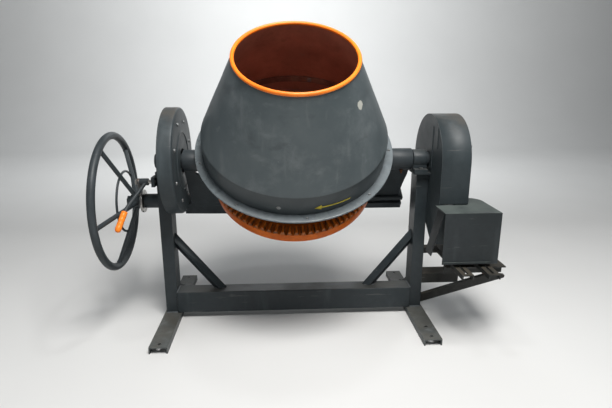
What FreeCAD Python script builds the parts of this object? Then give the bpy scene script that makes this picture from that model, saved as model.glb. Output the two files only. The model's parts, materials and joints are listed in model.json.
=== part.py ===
import FreeCAD, Part
import math
import os

# Tilting-drum concrete mixer on a two-legged steel frame, in millimetres.
# Machine axes while modelling: X to the right along the trunnion line, Y away from the front, Z up from
# the ground. The origin is on the ground below the middle of the trunnion line. Every node is shifted by
# ROW_SHIFT when it is saved, so that the saved origin is at the middle of the machine's footprint.

Vec = FreeCAD.Vector
X_AXIS = Vec(1, 0, 0)
Y_AXIS = Vec(0, 1, 0)
Z_AXIS = Vec(0, 0, 1)

# Whole machine
TRUNNION_Z = 723.0
DRUM_LEAN = 34.66          # degrees that the drum's axis leans forward from the vertical
PLATE = 8.0                # common welded plate thickness
SHEET = 2.5                # guard and cover sheet
GAP = 0.3                  # air left between curved faces of different bodies
RUNNING = 0.05             # radial clearance of a shaft in its bearing

# Ground frame
FOOT_X = 558.0
FOOT_W = 75.0
FOOT_H = 28.0
FOOT_T = 5.0
FOOT_FRONT = -333.0
FOOT_BACK = 393.0
FOOT_HOLE_R = 7.0
FOOT_HOLE_Y = (-305.0, 365.0)
SPARE_HOLE_Y = -225.0
BEAM_HALF_Y = 42.0
BEAM_H = 100.0
BEAM_T = 4.0
POST_IN = 535.0            # inner face of each upright, from the middle of the machine
POST_OUT = 588.0
POST_FRONT = -34.0
POST_BACK = 50.0
POST_TOP = 664.0
POST_T = 4.0
GUSSET_TOP = 300.0
GUSSET_BACK = 240.0
GUSSET_TIP_H = 18.0
BRACE_LEG = 23.0
BRACE_T = 5.0
BRACE_TOP_Z = 362.0
BRACE_FOOT_X = 345.0

# Trunnions and their bearings
HUB_R = 47.0
JOURNAL_R = 30.0
BUSH_R = 18.0
SHAFT_R = 14.0
LEFT_HUB = (-473.0, -415.0)
RIGHT_HUB = (415.0, 513.0)
BLOCK_R = 42.0
HEAD_T = 8.0
LEFT_BLOCK = (-585.0, -537.0)
RIGHT_BLOCK = (517.0, 577.0)
LEFT_JOURNAL_END = -592.0
RIGHT_JOURNAL_END = 598.0

# Tilting gear train on the left
COVER_R = 225.5
COVER_X = (-531.0, -477.0)
TILT_MODULE = 5.0
TILT_TEETH = 56
TILT_PINION_TEETH = 14
TILT_GEAR_X = (-522.0, -492.0)
WHEEL_Z = TRUNNION_Z - TILT_MODULE * (TILT_TEETH + TILT_PINION_TEETH) / 2
WHEEL_SHAFT_R = 15.0
WHEEL_TUBE_R = 31.0
WHEEL_TUBE_END = -650.0
WHEEL_RIM_X = -775.0
WHEEL_RIM_R = 283.0
WHEEL_RIM_TUBE_R = 16.0
WHEEL_HUB_X = (-708.0, -664.0)
WHEEL_HUB_R = 29.0
SPOKE_ANGLES = (46.0, 118.0, 190.0, 262.0, 334.0)
SPOKE_R = 9.5
INNER_RING_R = 130.0
INNER_RING_TUBE_R = 5.0
BRAKE_X = (-661.0, -652.0)
BRAKE_R = 50.0

# Lock lever
LEVER_PIN_Y = -50.0
LEVER_PIN_Z = 643.0
LEVER_PIN_R = 8.0
LEVER_ROD_R = 8.0
LEVER_HUB_X = (-652.0, -616.0)
LEVER_COLLAR_R = 15.0
LEVER_PIN_END = -669.0
SHOE_LENGTH = 60.0
SHOE_ANGLE = -86.4         # direction of the shoe's arm from its pin, from +Y towards +Z
GRIP_START = Vec(-692, -145, 548)
GRIP_END = Vec(-712, -196, 480)
GRIP_R = 13.0

# Drum, in its own axes: x to the right, v backwards and up, a along the drum's axis from the trunnion line
DRUM_R = 379.0
DRUM_T = 3.0
PANELS = 10                # equal panels that each round wall of the drum is made of, edge to edge
FLANGE = (76.0, 84.0)
FLANGE_R = 414.0
SHOULDER_A = 90.0
CYLINDER_TOP = 177.0
HOOP_A = (143.0, 171.0)
HOOP_T = 5.0
MOUTH_A = 510.0
MOUTH_R = 228.0
RIM_CENTRE_R = MOUTH_R - 1.5
RIM_TUBE_R = 7.5
POT_R = 296.0
POT_CORNER_A = -95.0
POT_FLOOR_A = -205.0
POT_FLOOR_R = 150.0
POT_HOLE_R = 40.0
BLADE_TURNS = (20.0, 200.0)
BLADE_SLOPE = 24.0

# Ring gear and its pinion
RING_TEETH = 78
PINION_TEETH = 16
RING_R = 350.0
RING_FACE = 32.0
RING_BOTTOM_A = -122.0
FLANGE_BOLTS = 9
FLANGE_BOLT_R = 397.0
FLANGE_BOLT_FIRST = -5.0

# Yoke
RIGHT_ARM_V = (-14.0, -2.0)
LEFT_ARM_V = (-42.0, -30.0)
UPPER_BAR_A = (-241.0, -222.0)
UPPER_BAR_X = (-468.0, 515.0)
LOWER_BAR_A = (-297.0, -263.0)
LOWER_BAR_X = (-505.0, 515.0)
BAR_HALF_V = 30.0
SPINDLE_R = 25.0

# Belt drive on the right
GUARD_X = (588.0, 711.0)
GUARD_NARROW_X = 650.0
GUARD_R = 196.0
GUARD_STEP_Z = 561.0
BELT_X = (614.0, 631.0)
BIG_PULLEY_R = 165.0
SMALL_PULLEY_R = 30.0
BELT_T = 11.0
MOTOR_Y = -150.0
MOTOR_Z = 430.0
MOTOR_R = 58.0
MOTOR_X = (655.0, 754.0)
COWL_LENGTH = 20.0
COVER_BOX_X = (572.0, 797.0)
COVER_BOX_Y = (-322.0, -72.0)
COVER_BOX_Z = (351.0, 561.0)
FLAP_WIDTH = 65.0

# Motor platform
RAIL_X = (650.0, 754.0)
RAIL_W = 46.0
RAIL_Z = (318.0, 338.0)
RAIL_Y = (-402.0, 8.0)
FRAME_RIGHT = 860.0

# Extent of the machine, used to put the saved origin at the middle of its footprint
LEFT_END = WHEEL_RIM_X - WHEEL_RIM_TUBE_R
LEAN = math.radians(DRUM_LEAN)
RIM_OUT = RIM_CENTRE_R * math.cos(LEAN) + MOUTH_A * math.sin(LEAN) + RIM_TUBE_R
ROW_SHIFT = Vec(-(LEFT_END + FRAME_RIGHT) / 2, (RIM_OUT - FOOT_BACK) / 2, 0)


def save(name, shape):
    """Writes one node, moved from the machine axes to the saved origin."""
    moved = shape.copy()
    moved.translate(ROW_SHIFT)
    moved.exportStep("parts/" + name + ".step")
    print(name, len(moved.Solids), moved.isValid(), round(moved.Volume / 1000), "cm3")


def drum_place(shape):
    """Turns a shape from the drum's axes to the machine axes."""
    placed = shape.copy()
    placed.rotate(Vec(0, 0, 0), X_AXIS, DRUM_LEAN)
    placed.translate(Vec(0, 0, TRUNNION_Z))
    return placed


def block(x, y, z):
    return Part.makeBox(x[1] - x[0], y[1] - y[0], z[1] - z[0], Vec(x[0], y[0], z[0]))


def rod(start, end, radius):
    run = end - start
    return Part.makeCylinder(radius, run.Length, start, run)


def rod_x(x, y, z, radius):
    return rod(Vec(x[0], y, z), Vec(x[1], y, z), radius)


def ring_x(x, y, z, outer, inner):
    return rod_x(x, y, z, outer).cut(rod_x((x[0] - 1, x[1] + 1), y, z, inner))


def face_of(points):
    return Part.Face(Part.makePolygon(points + [points[0]]))


def revolve(outline, centre=Vec(0, 0, 0), axis=Z_AXIS):
    """A closed outline of (radius, height) pairs turned about the vertical through the origin."""
    points = [Vec(radius, 0, height) for radius, height in outline]
    return face_of(points).revolve(centre, axis, 360)


def torus_x(x, y, z, radius, tube_radius):
    return Part.makeTorus(radius, tube_radius, Vec(x, y, z), X_AXIS)


def fuse_all(shapes):
    joined = shapes[0].multiFuse(shapes[1:])
    return joined.removeSplitter()


def hex_bolt(place, direction, across, head, shank_r, shank):
    """A hexagon bolt whose head stands on place and points along direction; the shank goes the other way."""
    pose = FreeCAD.Rotation(Z_AXIS, direction)
    corner = across / math.sqrt(3)
    turns = [math.pi * i / 3 for i in range(6)]
    points = [Vec(corner * math.cos(turn), corner * math.sin(turn), 0) for turn in turns]
    body = face_of(points).extrude(Vec(0, 0, head))
    if shank > 0:
        body = body.fuse(Part.makeCylinder(shank_r, shank, Vec(0, 0, -shank)))
    body.Placement = FreeCAD.Placement(place, pose)
    return body


def involute_outline(teeth, module, addendum, dedendum, backlash):
    """Outline of a spur gear as (radius, angle) pairs, with a tooth centred on angle 0."""
    pressure = math.radians(20)
    pitch_r = module * teeth / 2
    base_r = pitch_r * math.cos(pressure)
    tip_r = pitch_r + addendum * module
    root_r = pitch_r - dedendum * module
    half_pitch_tooth = (math.pi * module / 2 - backlash) / 2 / pitch_r
    steps = 5
    flank = []
    for i in range(steps + 1):
        radius = root_r + (tip_r - root_r) * i / steps
        angle_r = math.acos(min(1.0, base_r / max(radius, base_r)))
        involute = math.tan(angle_r) - angle_r
        start = math.tan(pressure) - pressure
        flank.append((radius, half_pitch_tooth + start - involute))
    outline = []
    for tooth in range(teeth):
        middle = 2 * math.pi * tooth / teeth
        outline += [(radius, middle - half) for radius, half in flank]
        outline += [(radius, middle + half) for radius, half in reversed(flank)]
    return outline


def gear_x(x, y, z, outline, turn):
    """A spur gear on an X axis. turn is the angle of its first tooth, from +Y towards +Z, in degrees."""
    start = math.radians(turn)
    points = [Vec(x[0], y + r * math.cos(a + start), z + r * math.sin(a + start)) for r, a in outline]
    return face_of(points).extrude(Vec(x[1] - x[0], 0, 0))


# ---- ground frame -------------------------------------------------------------------------------------

def foot_channel(side):
    middle = side * FOOT_X
    y = (FOOT_FRONT, FOOT_BACK)
    outer = block((middle - FOOT_W / 2, middle + FOOT_W / 2), y, (0, FOOT_H))
    hollow = block((middle - FOOT_W / 2 + FOOT_T, middle + FOOT_W / 2 - FOOT_T), y, (0, FOOT_H - FOOT_T))
    channel = outer.cut(hollow)
    holes = list(FOOT_HOLE_Y)
    if side > 0:
        holes.append(SPARE_HOLE_Y)
    for hole_y in holes:
        channel = channel.cut(Part.makeCylinder(FOOT_HOLE_R, FOOT_H, Vec(middle, hole_y, 0)))
    return channel


def main_beam():
    top = FOOT_H + BEAM_H
    x = (-POST_IN, POST_IN)
    outer = block(x, (-BEAM_HALF_Y, BEAM_HALF_Y), (FOOT_H, top))
    inner_y = BEAM_HALF_Y - BEAM_T
    beam = outer.cut(block(x, (-inner_y, inner_y), (FOOT_H + BEAM_T, top - BEAM_T)))
    return beam


def upright(side):
    x = sorted((side * POST_IN, side * POST_OUT))
    tube = block(x, (POST_FRONT, POST_BACK), (FOOT_H, POST_TOP))
    inner_x = (x[0] + POST_T, x[1] - POST_T)
    tube = tube.cut(block(inner_x, (POST_FRONT + POST_T, POST_BACK - POST_T), (FOOT_H, POST_TOP)))
    if side < 0:
        tube = tube.cut(rod_x((x[0] - 1, x[1] + 1), 0, WHEEL_Z, WHEEL_TUBE_R))
    return tube


def gusset(side):
    """Plate behind an upright, its sloping edge hollowed."""
    middle = side * (POST_IN + POST_OUT) / 2
    x = middle - PLATE / 2
    tip = FOOT_H + GUSSET_TIP_H
    sloping = arc_points((GUSSET_BACK, tip), (POST_BACK + 68, FOOT_H + 92), (POST_BACK, GUSSET_TOP), 9)
    points = [Vec(x, POST_BACK, FOOT_H), Vec(x, GUSSET_BACK, FOOT_H)]
    points += [Vec(x, y, z) for y, z in sloping]
    return face_of(points).extrude(Vec(PLATE, 0, 0))


def brace(side):
    """Steel angle from the upright down to the beam, its ridge towards the front."""
    beam_top = FOOT_H + BEAM_H
    start = Vec(side * POST_IN, 0, BRACE_TOP_Z)
    end = Vec(side * BRACE_FOOT_X, 0, beam_top)
    run = (end - start).normalize()
    across = Vec(-run.z, 0, run.x)
    ridge = Vec(0, -BRACE_LEG / 2, 0)
    depth = Vec(0, BRACE_LEG, 0)
    inner_y = Vec(0, BRACE_T * 1.4, 0)
    begin = start - run * 80
    length = run * ((end - start).Length + 160)
    points = [
        begin + ridge,
        begin + ridge + depth + across * BRACE_LEG,
        begin + ridge + depth + across * (BRACE_LEG - BRACE_T * 1.4),
        begin + ridge + inner_y,
        begin + ridge + depth - across * (BRACE_LEG - BRACE_T * 1.4),
        begin + ridge + depth - across * BRACE_LEG,
    ]
    angle = face_of(points).extrude(length)
    keep_x = sorted((0.0, side * POST_IN))
    return angle.common(block(keep_x, (-100, 100), (beam_top, POST_TOP)))


def head_plate(side):
    x = sorted((side * (POST_IN + 2), side * POST_OUT)) if side < 0 else (POST_IN - 18, POST_OUT)
    plate = block(x, (-62, 68), (POST_TOP, POST_TOP + HEAD_T))
    for bolt_x, bolt_y in block_bolt_places(side):
        plate = plate.cut(Part.makeCylinder(5, HEAD_T, Vec(bolt_x, bolt_y, POST_TOP)))
    return plate


def block_bolt_places(side):
    x = LEFT_BLOCK if side < 0 else RIGHT_BLOCK
    middle = (x[0] + x[1]) / 2
    return [(middle, -50.0), (middle, 56.0)]


def bearing_block(side):
    x = LEFT_BLOCK if side < 0 else RIGHT_BLOCK
    low = POST_TOP + HEAD_T
    body = rod_x(x, 0, TRUNNION_Z, BLOCK_R)
    base = block(x, (-62, 68), (low, low + 14))
    neck = block(x, (-36, 36), (low, TRUNNION_Z))
    body = fuse_all([body, base, neck])
    body = body.cut(rod_x((x[0] - 1, x[1] + 1), 0, TRUNNION_Z, JOURNAL_R + RUNNING))
    for bolt_x, bolt_y in block_bolt_places(side):
        body = body.cut(Part.makeCylinder(5, 20, Vec(bolt_x, bolt_y, low)))
    return body


def bearing_bolts(side):
    low = POST_TOP + HEAD_T + 14
    bolts = []
    for bolt_x, bolt_y in block_bolt_places(side):
        bolt = hex_bolt(Vec(bolt_x, bolt_y, low), Z_AXIS, 16, 7, 4.9, 22)
        bolts.append(bolt)
    return Part.makeCompound(bolts)


# ---- tilting gear, handwheel and lock lever -----------------------------------------------------------

def tilt_cover_back():
    x = (-POST_IN, COVER_X[0])
    plate = rod_x(x, 0, TRUNNION_Z, COVER_R)
    plate = plate.cut(rod_x((x[0] - 1, x[1] + 1), 0, TRUNNION_Z, JOURNAL_R + 4))
    return plate.cut(rod_x((x[0] - 1, x[1] + 1), 0, WHEEL_Z, WHEEL_SHAFT_R + 2))


def tilt_cover():
    """Round casing of the tilting gear, with a raised ring on its inner face."""
    shell = rod_x(COVER_X, 0, TRUNNION_Z, COVER_R)
    shell = shell.cut(rod_x((COVER_X[0], COVER_X[1] - SHEET), 0, TRUNNION_Z, COVER_R - SHEET))
    hole = rod_x((COVER_X[0], COVER_X[1] + 5), 0, TRUNNION_Z, HUB_R + 6)
    lip = ring_x((COVER_X[1], COVER_X[1] + 3), 0, TRUNNION_Z, 128, 118)
    return fuse_all([shell, lip]).cut(hole)


def tilt_cover_screws():
    """Round-headed screws round the casing's inner face."""
    heads = []
    for i in range(8):
        angle = math.pi * (i + 0.5) / 4
        y = 172 * math.cos(angle)
        z = TRUNNION_Z + 172 * math.sin(angle)
        heads.append(Part.makeCone(8, 5, 5, Vec(COVER_X[1], y, z), X_AXIS))
    return Part.makeCompound(heads)


def tilt_gear():
    outline = involute_outline(TILT_TEETH, TILT_MODULE, 0.85, 1.1, 0.6)
    gear = gear_x(TILT_GEAR_X, 0, TRUNNION_Z, outline, -90 + 180 / TILT_TEETH)
    recess = ring_x((TILT_GEAR_X[0], TILT_GEAR_X[0] + 8), 0, TRUNNION_Z, 120, 62)
    gear = gear.cut(recess)
    for i in range(6):
        angle = math.pi * i / 3
        y = 90 * math.cos(angle)
        z = TRUNNION_Z + 90 * math.sin(angle)
        gear = gear.cut(rod_x((TILT_GEAR_X[0] - 1, TILT_GEAR_X[1] + 1), y, z, 17))
    return gear.cut(rod_x((TILT_GEAR_X[0] - 1, TILT_GEAR_X[1] + 1), 0, TRUNNION_Z, JOURNAL_R))


def tilt_pinion():
    outline = involute_outline(TILT_PINION_TEETH, TILT_MODULE, 0.85, 1.1, 0.6)
    gear = gear_x(TILT_GEAR_X, 0, WHEEL_Z, outline, 90)
    return gear.cut(rod_x((TILT_GEAR_X[0] - 1, TILT_GEAR_X[1] + 1), 0, WHEEL_Z, WHEEL_SHAFT_R))


def wheel_tube():
    return ring_x((WHEEL_TUBE_END, -POST_IN), 0, WHEEL_Z, WHEEL_TUBE_R, WHEEL_SHAFT_R + RUNNING)


def wheel_shaft():
    return rod_x((WHEEL_HUB_X[0] - 12, TILT_GEAR_X[1] + 3), 0, WHEEL_Z, WHEEL_SHAFT_R)


def wheel_nut():
    x = WHEEL_HUB_X[0]
    nut = hex_bolt(Vec(x, 0, WHEEL_Z), Vec(-1, 0, 0), 40, 16, 5, 0)
    return nut.cut(rod_x((x - 20, x + 1), 0, WHEEL_Z, WHEEL_SHAFT_R))


def wheel_point(angle, radius, x):
    turn = math.radians(angle)
    return Vec(x, radius * math.cos(turn), WHEEL_Z + radius * math.sin(turn))


def spoke_start_x():
    return (WHEEL_HUB_X[0] + WHEEL_HUB_X[1]) / 2


def spoke_x(radius):
    slope = (WHEEL_RIM_X - spoke_start_x()) / (WHEEL_RIM_R - WHEEL_HUB_R)
    return spoke_start_x() + slope * (radius - WHEEL_HUB_R)


def wheel_rim():
    return torus_x(WHEEL_RIM_X, 0, WHEEL_Z, WHEEL_RIM_R, WHEEL_RIM_TUBE_R)


def wheel_hub():
    hub = rod_x(WHEEL_HUB_X, 0, WHEEL_Z, WHEEL_HUB_R)
    return hub.cut(rod_x((WHEEL_HUB_X[0] - 1, WHEEL_HUB_X[1] + 1), 0, WHEEL_Z, WHEEL_SHAFT_R))


def wheel_spokes():
    """Sloping tubes and the thin ring that crosses them, as one welded piece."""
    rim = wheel_rim()
    hub = rod_x(WHEEL_HUB_X, 0, WHEEL_Z, WHEEL_HUB_R)
    ring_place = spoke_x(INNER_RING_R) - SPOKE_R
    pieces = [torus_x(ring_place, 0, WHEEL_Z, INNER_RING_R, INNER_RING_TUBE_R)]
    for angle in SPOKE_ANGLES:
        start = wheel_point(angle, WHEEL_HUB_R - 10, spoke_x(WHEEL_HUB_R - 10))
        end = wheel_point(angle, WHEEL_RIM_R, WHEEL_RIM_X)
        spoke = rod(start, end, SPOKE_R).cut(hub).cut(rim)
        pieces.append(max(spoke.Solids, key=lambda solid: solid.Volume))
    return fuse_all(pieces)


def brake_disc():
    return ring_x(BRAKE_X, 0, WHEEL_Z, BRAKE_R, WHEEL_SHAFT_R)


def lever_bracket():
    plate = block((-602, -POST_OUT), (-66, -8), (622, 664))
    return plate.cut(rod_x((-605, -POST_OUT + 1), LEVER_PIN_Y, LEVER_PIN_Z, LEVER_PIN_R))


def lever_pin():
    shank = rod_x((LEVER_PIN_END, -POST_OUT), LEVER_PIN_Y, LEVER_PIN_Z, LEVER_PIN_R)
    head = rod_x((LEVER_PIN_END, LEVER_PIN_END + 6), LEVER_PIN_Y, LEVER_PIN_Z, 13)
    return fuse_all([shank, head])


def lever_rod():
    """Collar on the pin and the rod that goes forward and down to the grip."""
    collar = rod_x(LEVER_HUB_X, LEVER_PIN_Y, LEVER_PIN_Z, LEVER_COLLAR_R)
    start = Vec(-630, LEVER_PIN_Y - 8, LEVER_PIN_Z - 6)
    toward = (GRIP_END - GRIP_START).normalize()
    shaft = rod(start, GRIP_START, LEVER_ROD_R)
    knuckle = Part.makeSphere(LEVER_ROD_R, GRIP_START)
    inside = rod(GRIP_START, GRIP_END - toward * 12, LEVER_ROD_R)
    lever = fuse_all([collar, shaft, knuckle, inside])
    x = (LEVER_HUB_X[0] - 1, LEVER_HUB_X[1] + 1)
    return lever.cut(rod_x(x, LEVER_PIN_Y, LEVER_PIN_Z, LEVER_PIN_R + RUNNING))


def lever_grip():
    toward = (GRIP_END - GRIP_START).normalize()
    start = GRIP_START + toward * 9
    sleeve = rod(start, GRIP_END, GRIP_R)
    sleeve = sleeve.fuse(Part.makeSphere(GRIP_R, GRIP_END))
    return sleeve.cut(rod(GRIP_START, GRIP_END - toward * 12, LEVER_ROD_R))


def brake_shoe():
    """Eye beside the lever's collar, with an arm that ends in the shoe over the brake disc's rim."""
    down = math.radians(SHOE_ANGLE)
    way = Vec(0, math.cos(down), math.sin(down))
    side = Vec(0, -math.sin(down), math.cos(down))
    pin = Vec(BRAKE_X[0], LEVER_PIN_Y, LEVER_PIN_Z)
    arm = face_of([
        pin + side * 9,
        pin + way * SHOE_LENGTH + side * 6,
        pin + way * SHOE_LENGTH - side * 6,
        pin - side * 9,
    ])
    arm = arm.extrude(Vec(BRAKE_X[1] - BRAKE_X[0], 0, 0))
    eye = rod_x(BRAKE_X, LEVER_PIN_Y, LEVER_PIN_Z, LEVER_COLLAR_R)
    hole = rod_x((BRAKE_X[0] - 1, BRAKE_X[1] + 1), LEVER_PIN_Y, LEVER_PIN_Z, LEVER_PIN_R + RUNNING)
    return fuse_all([eye, arm]).cut(hole)


# ---- drum ---------------------------------------------------------------------------------------------

def panels_of(face):
    """The solids that a face in the plane y = 0 leaves as it turns in equal steps about the drum's axis."""
    step = 360.0 / PANELS
    first = face.revolve(Vec(0, 0, 0), Z_AXIS, step)
    solids = []
    for i in range(PANELS):
        panel = first.copy()
        panel.rotate(Vec(0, 0, 0), Z_AXIS, step * i)
        solids.append(panel)
    return solids


def panels(outline):
    """Round wall of equal panels, from a closed outline of (radius, height) pairs."""
    return panels_of(face_of([Vec(radius, 0, height) for radius, height in outline]))


def drum_upper():
    """Cylinder, cone, the shoulder that steps in to the lower pot, and the hoop inside the cylinder."""
    slope = math.atan2(DRUM_R - MOUTH_R, MOUTH_A - CYLINDER_TOP)
    wall = DRUM_T / math.cos(slope)
    inner_r = DRUM_R - DRUM_T
    bend_in = (inner_r, CYLINDER_TOP - DRUM_T * math.tan(slope / 2))
    cylinder = panels([(inner_r, FLANGE[0]), (DRUM_R, FLANGE[0]), (DRUM_R, CYLINDER_TOP), bend_in])
    cone = panels([(DRUM_R, CYLINDER_TOP), (MOUTH_R, MOUTH_A), (MOUTH_R - wall, MOUTH_A), bend_in])
    cone = [panel.cut(rim_torus()) for panel in cone]
    top = SHOULDER_A + DRUM_T
    shoulder = panels([(POT_R, SHOULDER_A), (inner_r, SHOULDER_A), (inner_r, top), (POT_R, top)])
    low, high = HOOP_A
    hoop = panels([(inner_r, low), (inner_r, high), (inner_r - HOOP_T, high), (inner_r - HOOP_T, low)])
    return Part.makeCompound(cylinder + cone + shoulder + hoop)


def rim_torus():
    return Part.makeTorus(RIM_CENTRE_R, RIM_TUBE_R, Vec(0, 0, MOUTH_A), Z_AXIS)


def drum_lower():
    """Pot below the shoulder: a short cylinder, a dished corner and a flat floor round the hub."""
    top = SHOULDER_A + DRUM_T
    floor = POT_FLOOR_A + DRUM_T
    wall = POT_R - DRUM_T
    pot = panels([(wall, POT_CORNER_A), (POT_R, POT_CORNER_A), (POT_R, top), (wall, top)])
    outside = (Vec(POT_FLOOR_R, 0, POT_FLOOR_A), Vec(258, 0, -162), Vec(POT_R, 0, POT_CORNER_A))
    inside = (Vec(wall, 0, POT_CORNER_A), Vec(255.8, 0, -160), Vec(POT_FLOOR_R, 0, floor))
    edge = Part.Wire([
        Part.Arc(*outside).toShape(),
        Part.LineSegment(outside[2], inside[0]).toShape(),
        Part.Arc(*inside).toShape(),
        Part.LineSegment(inside[2], outside[0]).toShape(),
    ])
    base = Part.makeCylinder(POT_FLOOR_R, DRUM_T, Vec(0, 0, POT_FLOOR_A))
    base = base.cut(Part.makeCylinder(POT_HOLE_R, 20, Vec(0, 0, POT_FLOOR_A - 5)))
    return Part.makeCompound(pot + panels_of(Part.Face(edge)) + [base])


def waist_flange():
    """Flat ring that stands out from the foot of the drum's cylinder."""
    low, high = FLANGE
    return Part.makeCompound(panels([(DRUM_R, low), (FLANGE_R, low), (FLANGE_R, high), (DRUM_R, high)]))


def around(count, first, radius, height):
    """Places evenly spaced round the drum's axis, with the outward direction of each."""
    places = []
    for i in range(count):
        angle = math.radians(first + 360.0 * i / count)
        out = Vec(math.cos(angle), math.sin(angle), 0)
        places.append((out * radius + Vec(0, 0, height), out))
    return places


def flange_bolts():
    """Low round heads on the flange's upper face."""
    places = around(FLANGE_BOLTS, FLANGE_BOLT_FIRST, FLANGE_BOLT_R, FLANGE[1])
    return Part.makeCompound([Part.makeCone(6, 3.5, 3, place, Z_AXIS) for place, _ in places])


def pitch_lines():
    """Pitch radius of the ring's outer end and of the pinion's, whose pitch cones share one apex."""
    return RING_R, RING_R * PINION_TEETH / RING_TEETH


def ring_gear():
    """Angle-section ring with teeth on its upper face that all point to the middle of the trunnion line."""
    ring_r, pinion_r = pitch_lines()
    module = 2 * ring_r / RING_TEETH
    slope = pinion_r / ring_r
    inner_r = RING_R - RING_FACE
    root = 1.2 * module
    outer_root_a = -pinion_r - root
    inner_root_a = -slope * inner_r - root * inner_r / RING_R
    seat_r = POT_R
    blank = revolve([
        (seat_r, inner_root_a - 14),
        (inner_r, inner_root_a - 14),
        (RING_R - 14, outer_root_a - 16),
        (RING_R - 14, RING_BOTTOM_A),
        (RING_R, RING_BOTTOM_A),
        (RING_R, outer_root_a),
        (inner_r, inner_root_a),
        (seat_r, inner_root_a),
    ])
    pitch = 2 * math.pi * ring_r / RING_TEETH
    half = 0.23 * pitch
    lean = math.tan(math.radians(20))
    teeth = [blank]
    for i in range(RING_TEETH):
        angle = 2 * math.pi * (i + 0.5) / RING_TEETH
        out = Vec(math.cos(angle), math.sin(angle), 0)
        along = Vec(-math.sin(angle), math.cos(angle), 0)
        ends = []
        for radius in (RING_R - 1, inner_r - 2):
            scale = radius / RING_R
            low = outer_root_a * scale - 1.5
            high = (-pinion_r + 0.85 * module) * scale
            wide = (half + (root + 1.5) * lean) * scale
            narrow = (half - 0.85 * module * lean) * scale
            base = out * radius
            ends.append(Part.makePolygon([
                base - along * wide + Vec(0, 0, low),
                base + along * wide + Vec(0, 0, low),
                base + along * narrow + Vec(0, 0, high),
                base - along * narrow + Vec(0, 0, high),
                base - along * wide + Vec(0, 0, low),
            ]))
        teeth.append(Part.makeLoft(ends, True, True))
    return teeth[0].multiFuse(teeth[1:])


def drum_pinion():
    ring_r, pinion_r = pitch_lines()
    module = 2 * pinion_r / PINION_TEETH
    outline = involute_outline(PINION_TEETH, module, 0.85, 1.15, 0.12 * math.pi * module)
    inner_r = ring_r - RING_FACE
    ends = []
    for radius in (ring_r, inner_r):
        scale = radius / ring_r
        points = []
        for r, angle in outline:
            turn = angle - math.pi / 2
            points.append(Vec(radius, r * scale * math.cos(turn), r * scale * math.sin(turn)))
        ends.append(Part.makePolygon(points + [points[0]]))
    body = Part.makeLoft(ends, True, True)
    hub = rod_x((ring_r, ring_r + 22), 0, 0, 30)
    body = body.fuse(hub)
    return body.cut(rod_x((inner_r - 1, ring_r + 30), 0, 0, SHAFT_R))


def drum_inside():
    """The space inside the drum, up to its walls."""
    upper = revolve([
        (0, SHOULDER_A + DRUM_T), (DRUM_R - DRUM_T, SHOULDER_A + DRUM_T),
        (DRUM_R - DRUM_T, HOOP_A[0] - 6), (0, HOOP_A[0] - 6),
    ])
    pot = Part.makeCylinder(POT_R - DRUM_T, SHOULDER_A - POT_CORNER_A, Vec(0, 0, POT_CORNER_A))
    return upper, pot


def mixing_blades():
    """Four sloping paddles welded to the drum's walls: two low in the pot and two above its shoulder."""
    upper, pot = drum_inside()
    blades = []
    for turn in BLADE_TURNS:
        low = face_of([Vec(190, -3, -90), Vec(320, -3, -90), Vec(320, -3, 80), Vec(180, -3, 60)])
        high = face_of([Vec(290, -3, 85), Vec(420, -3, 85), Vec(420, -3, 165), Vec(300, -3, 150)])
        low = low.extrude(Vec(0, 6, 0))
        low.rotate(Vec(240, 0, 0), X_AXIS, BLADE_SLOPE)
        high = high.extrude(Vec(0, 6, 0))
        high.rotate(Vec(330, 0, 120), X_AXIS, BLADE_SLOPE)
        for blade, space in ((low, pot), (high, upper)):
            blade.rotate(Vec(0, 0, 0), Z_AXIS, turn)
            blades.append(blade.common(space))
    return Part.makeCompound(blades)


def drum_hub():
    """Bearing housing in the middle of the drum's floor."""
    body = Part.makeCylinder(POT_HOLE_R, 60, Vec(0, 0, POT_FLOOR_A - 10))
    flange = Part.makeCylinder(95, 10, Vec(0, 0, POT_FLOOR_A + DRUM_T))
    top = Part.makeCylinder(46, 12, Vec(0, 0, POT_FLOOR_A + DRUM_T + 47))
    hub = fuse_all([body, flange, top])
    return hub.cut(Part.makeCylinder(SPINDLE_R + RUNNING, 100, Vec(0, 0, POT_FLOOR_A - 20)))


def hub_bolts():
    height = POT_FLOOR_A + DRUM_T + 10
    return Part.makeCompound([hex_bolt(place, Z_AXIS, 16, 8, 4, 0) for place, _ in around(6, 0, 72, height)])


def hub_cap():
    """Domed cap over the spindle nut, inside the drum."""
    top = POT_FLOOR_A + DRUM_T + 59
    dome = Part.makeCone(46, 26, 34, Vec(0, 0, top))
    return dome.cut(Part.makeCone(40, 22, 29, Vec(0, 0, top)))


# ---- yoke ---------------------------------------------------------------------------------------------

def arm_plate(outline, v):
    points = [Vec(x, v[0], a) for x, a in outline]
    return face_of(points).extrude(Vec(0, v[1] - v[0], 0))


def arc_points(start, middle, end, count):
    """Points along the arc through three (x, a) points, both ends included."""
    curve = Part.Arc(Vec(*start, 0), Vec(*middle, 0), Vec(*end, 0))
    return [(p.x, p.y) for p in curve.discretize(count)]


def right_arm():
    outline = [(424, 10), (424, -40), (372, -66), (372, -132), (322, -160), (322, LOWER_BAR_A[0])]
    outline += [(500, LOWER_BAR_A[0]), (500, UPPER_BAR_A[1])]
    outline += arc_points((496, UPPER_BAR_A[1] + 4), (502, -145), (511, -80), 7)
    outline += [(511, 10)]
    plate = arm_plate(outline, RIGHT_ARM_V)
    return plate.cut(rod_x((400, 530), 0, 0, HUB_R)).cut(bar_space())


def left_arm():
    """Deep plate from the left-hand hub down over the front of the cross bars."""
    outline = [(-424, 10), (-424, -40), (-372, -66), (-372, -132), (-322, -160), (-305, -310)]
    outline += [(-507, -305), (-507, -252), (-470, -232), (-470, 10)]
    plate = arm_plate(outline, LEFT_ARM_V)
    return plate.cut(rod_x((-530, -400), 0, 0, HUB_R))


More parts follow.
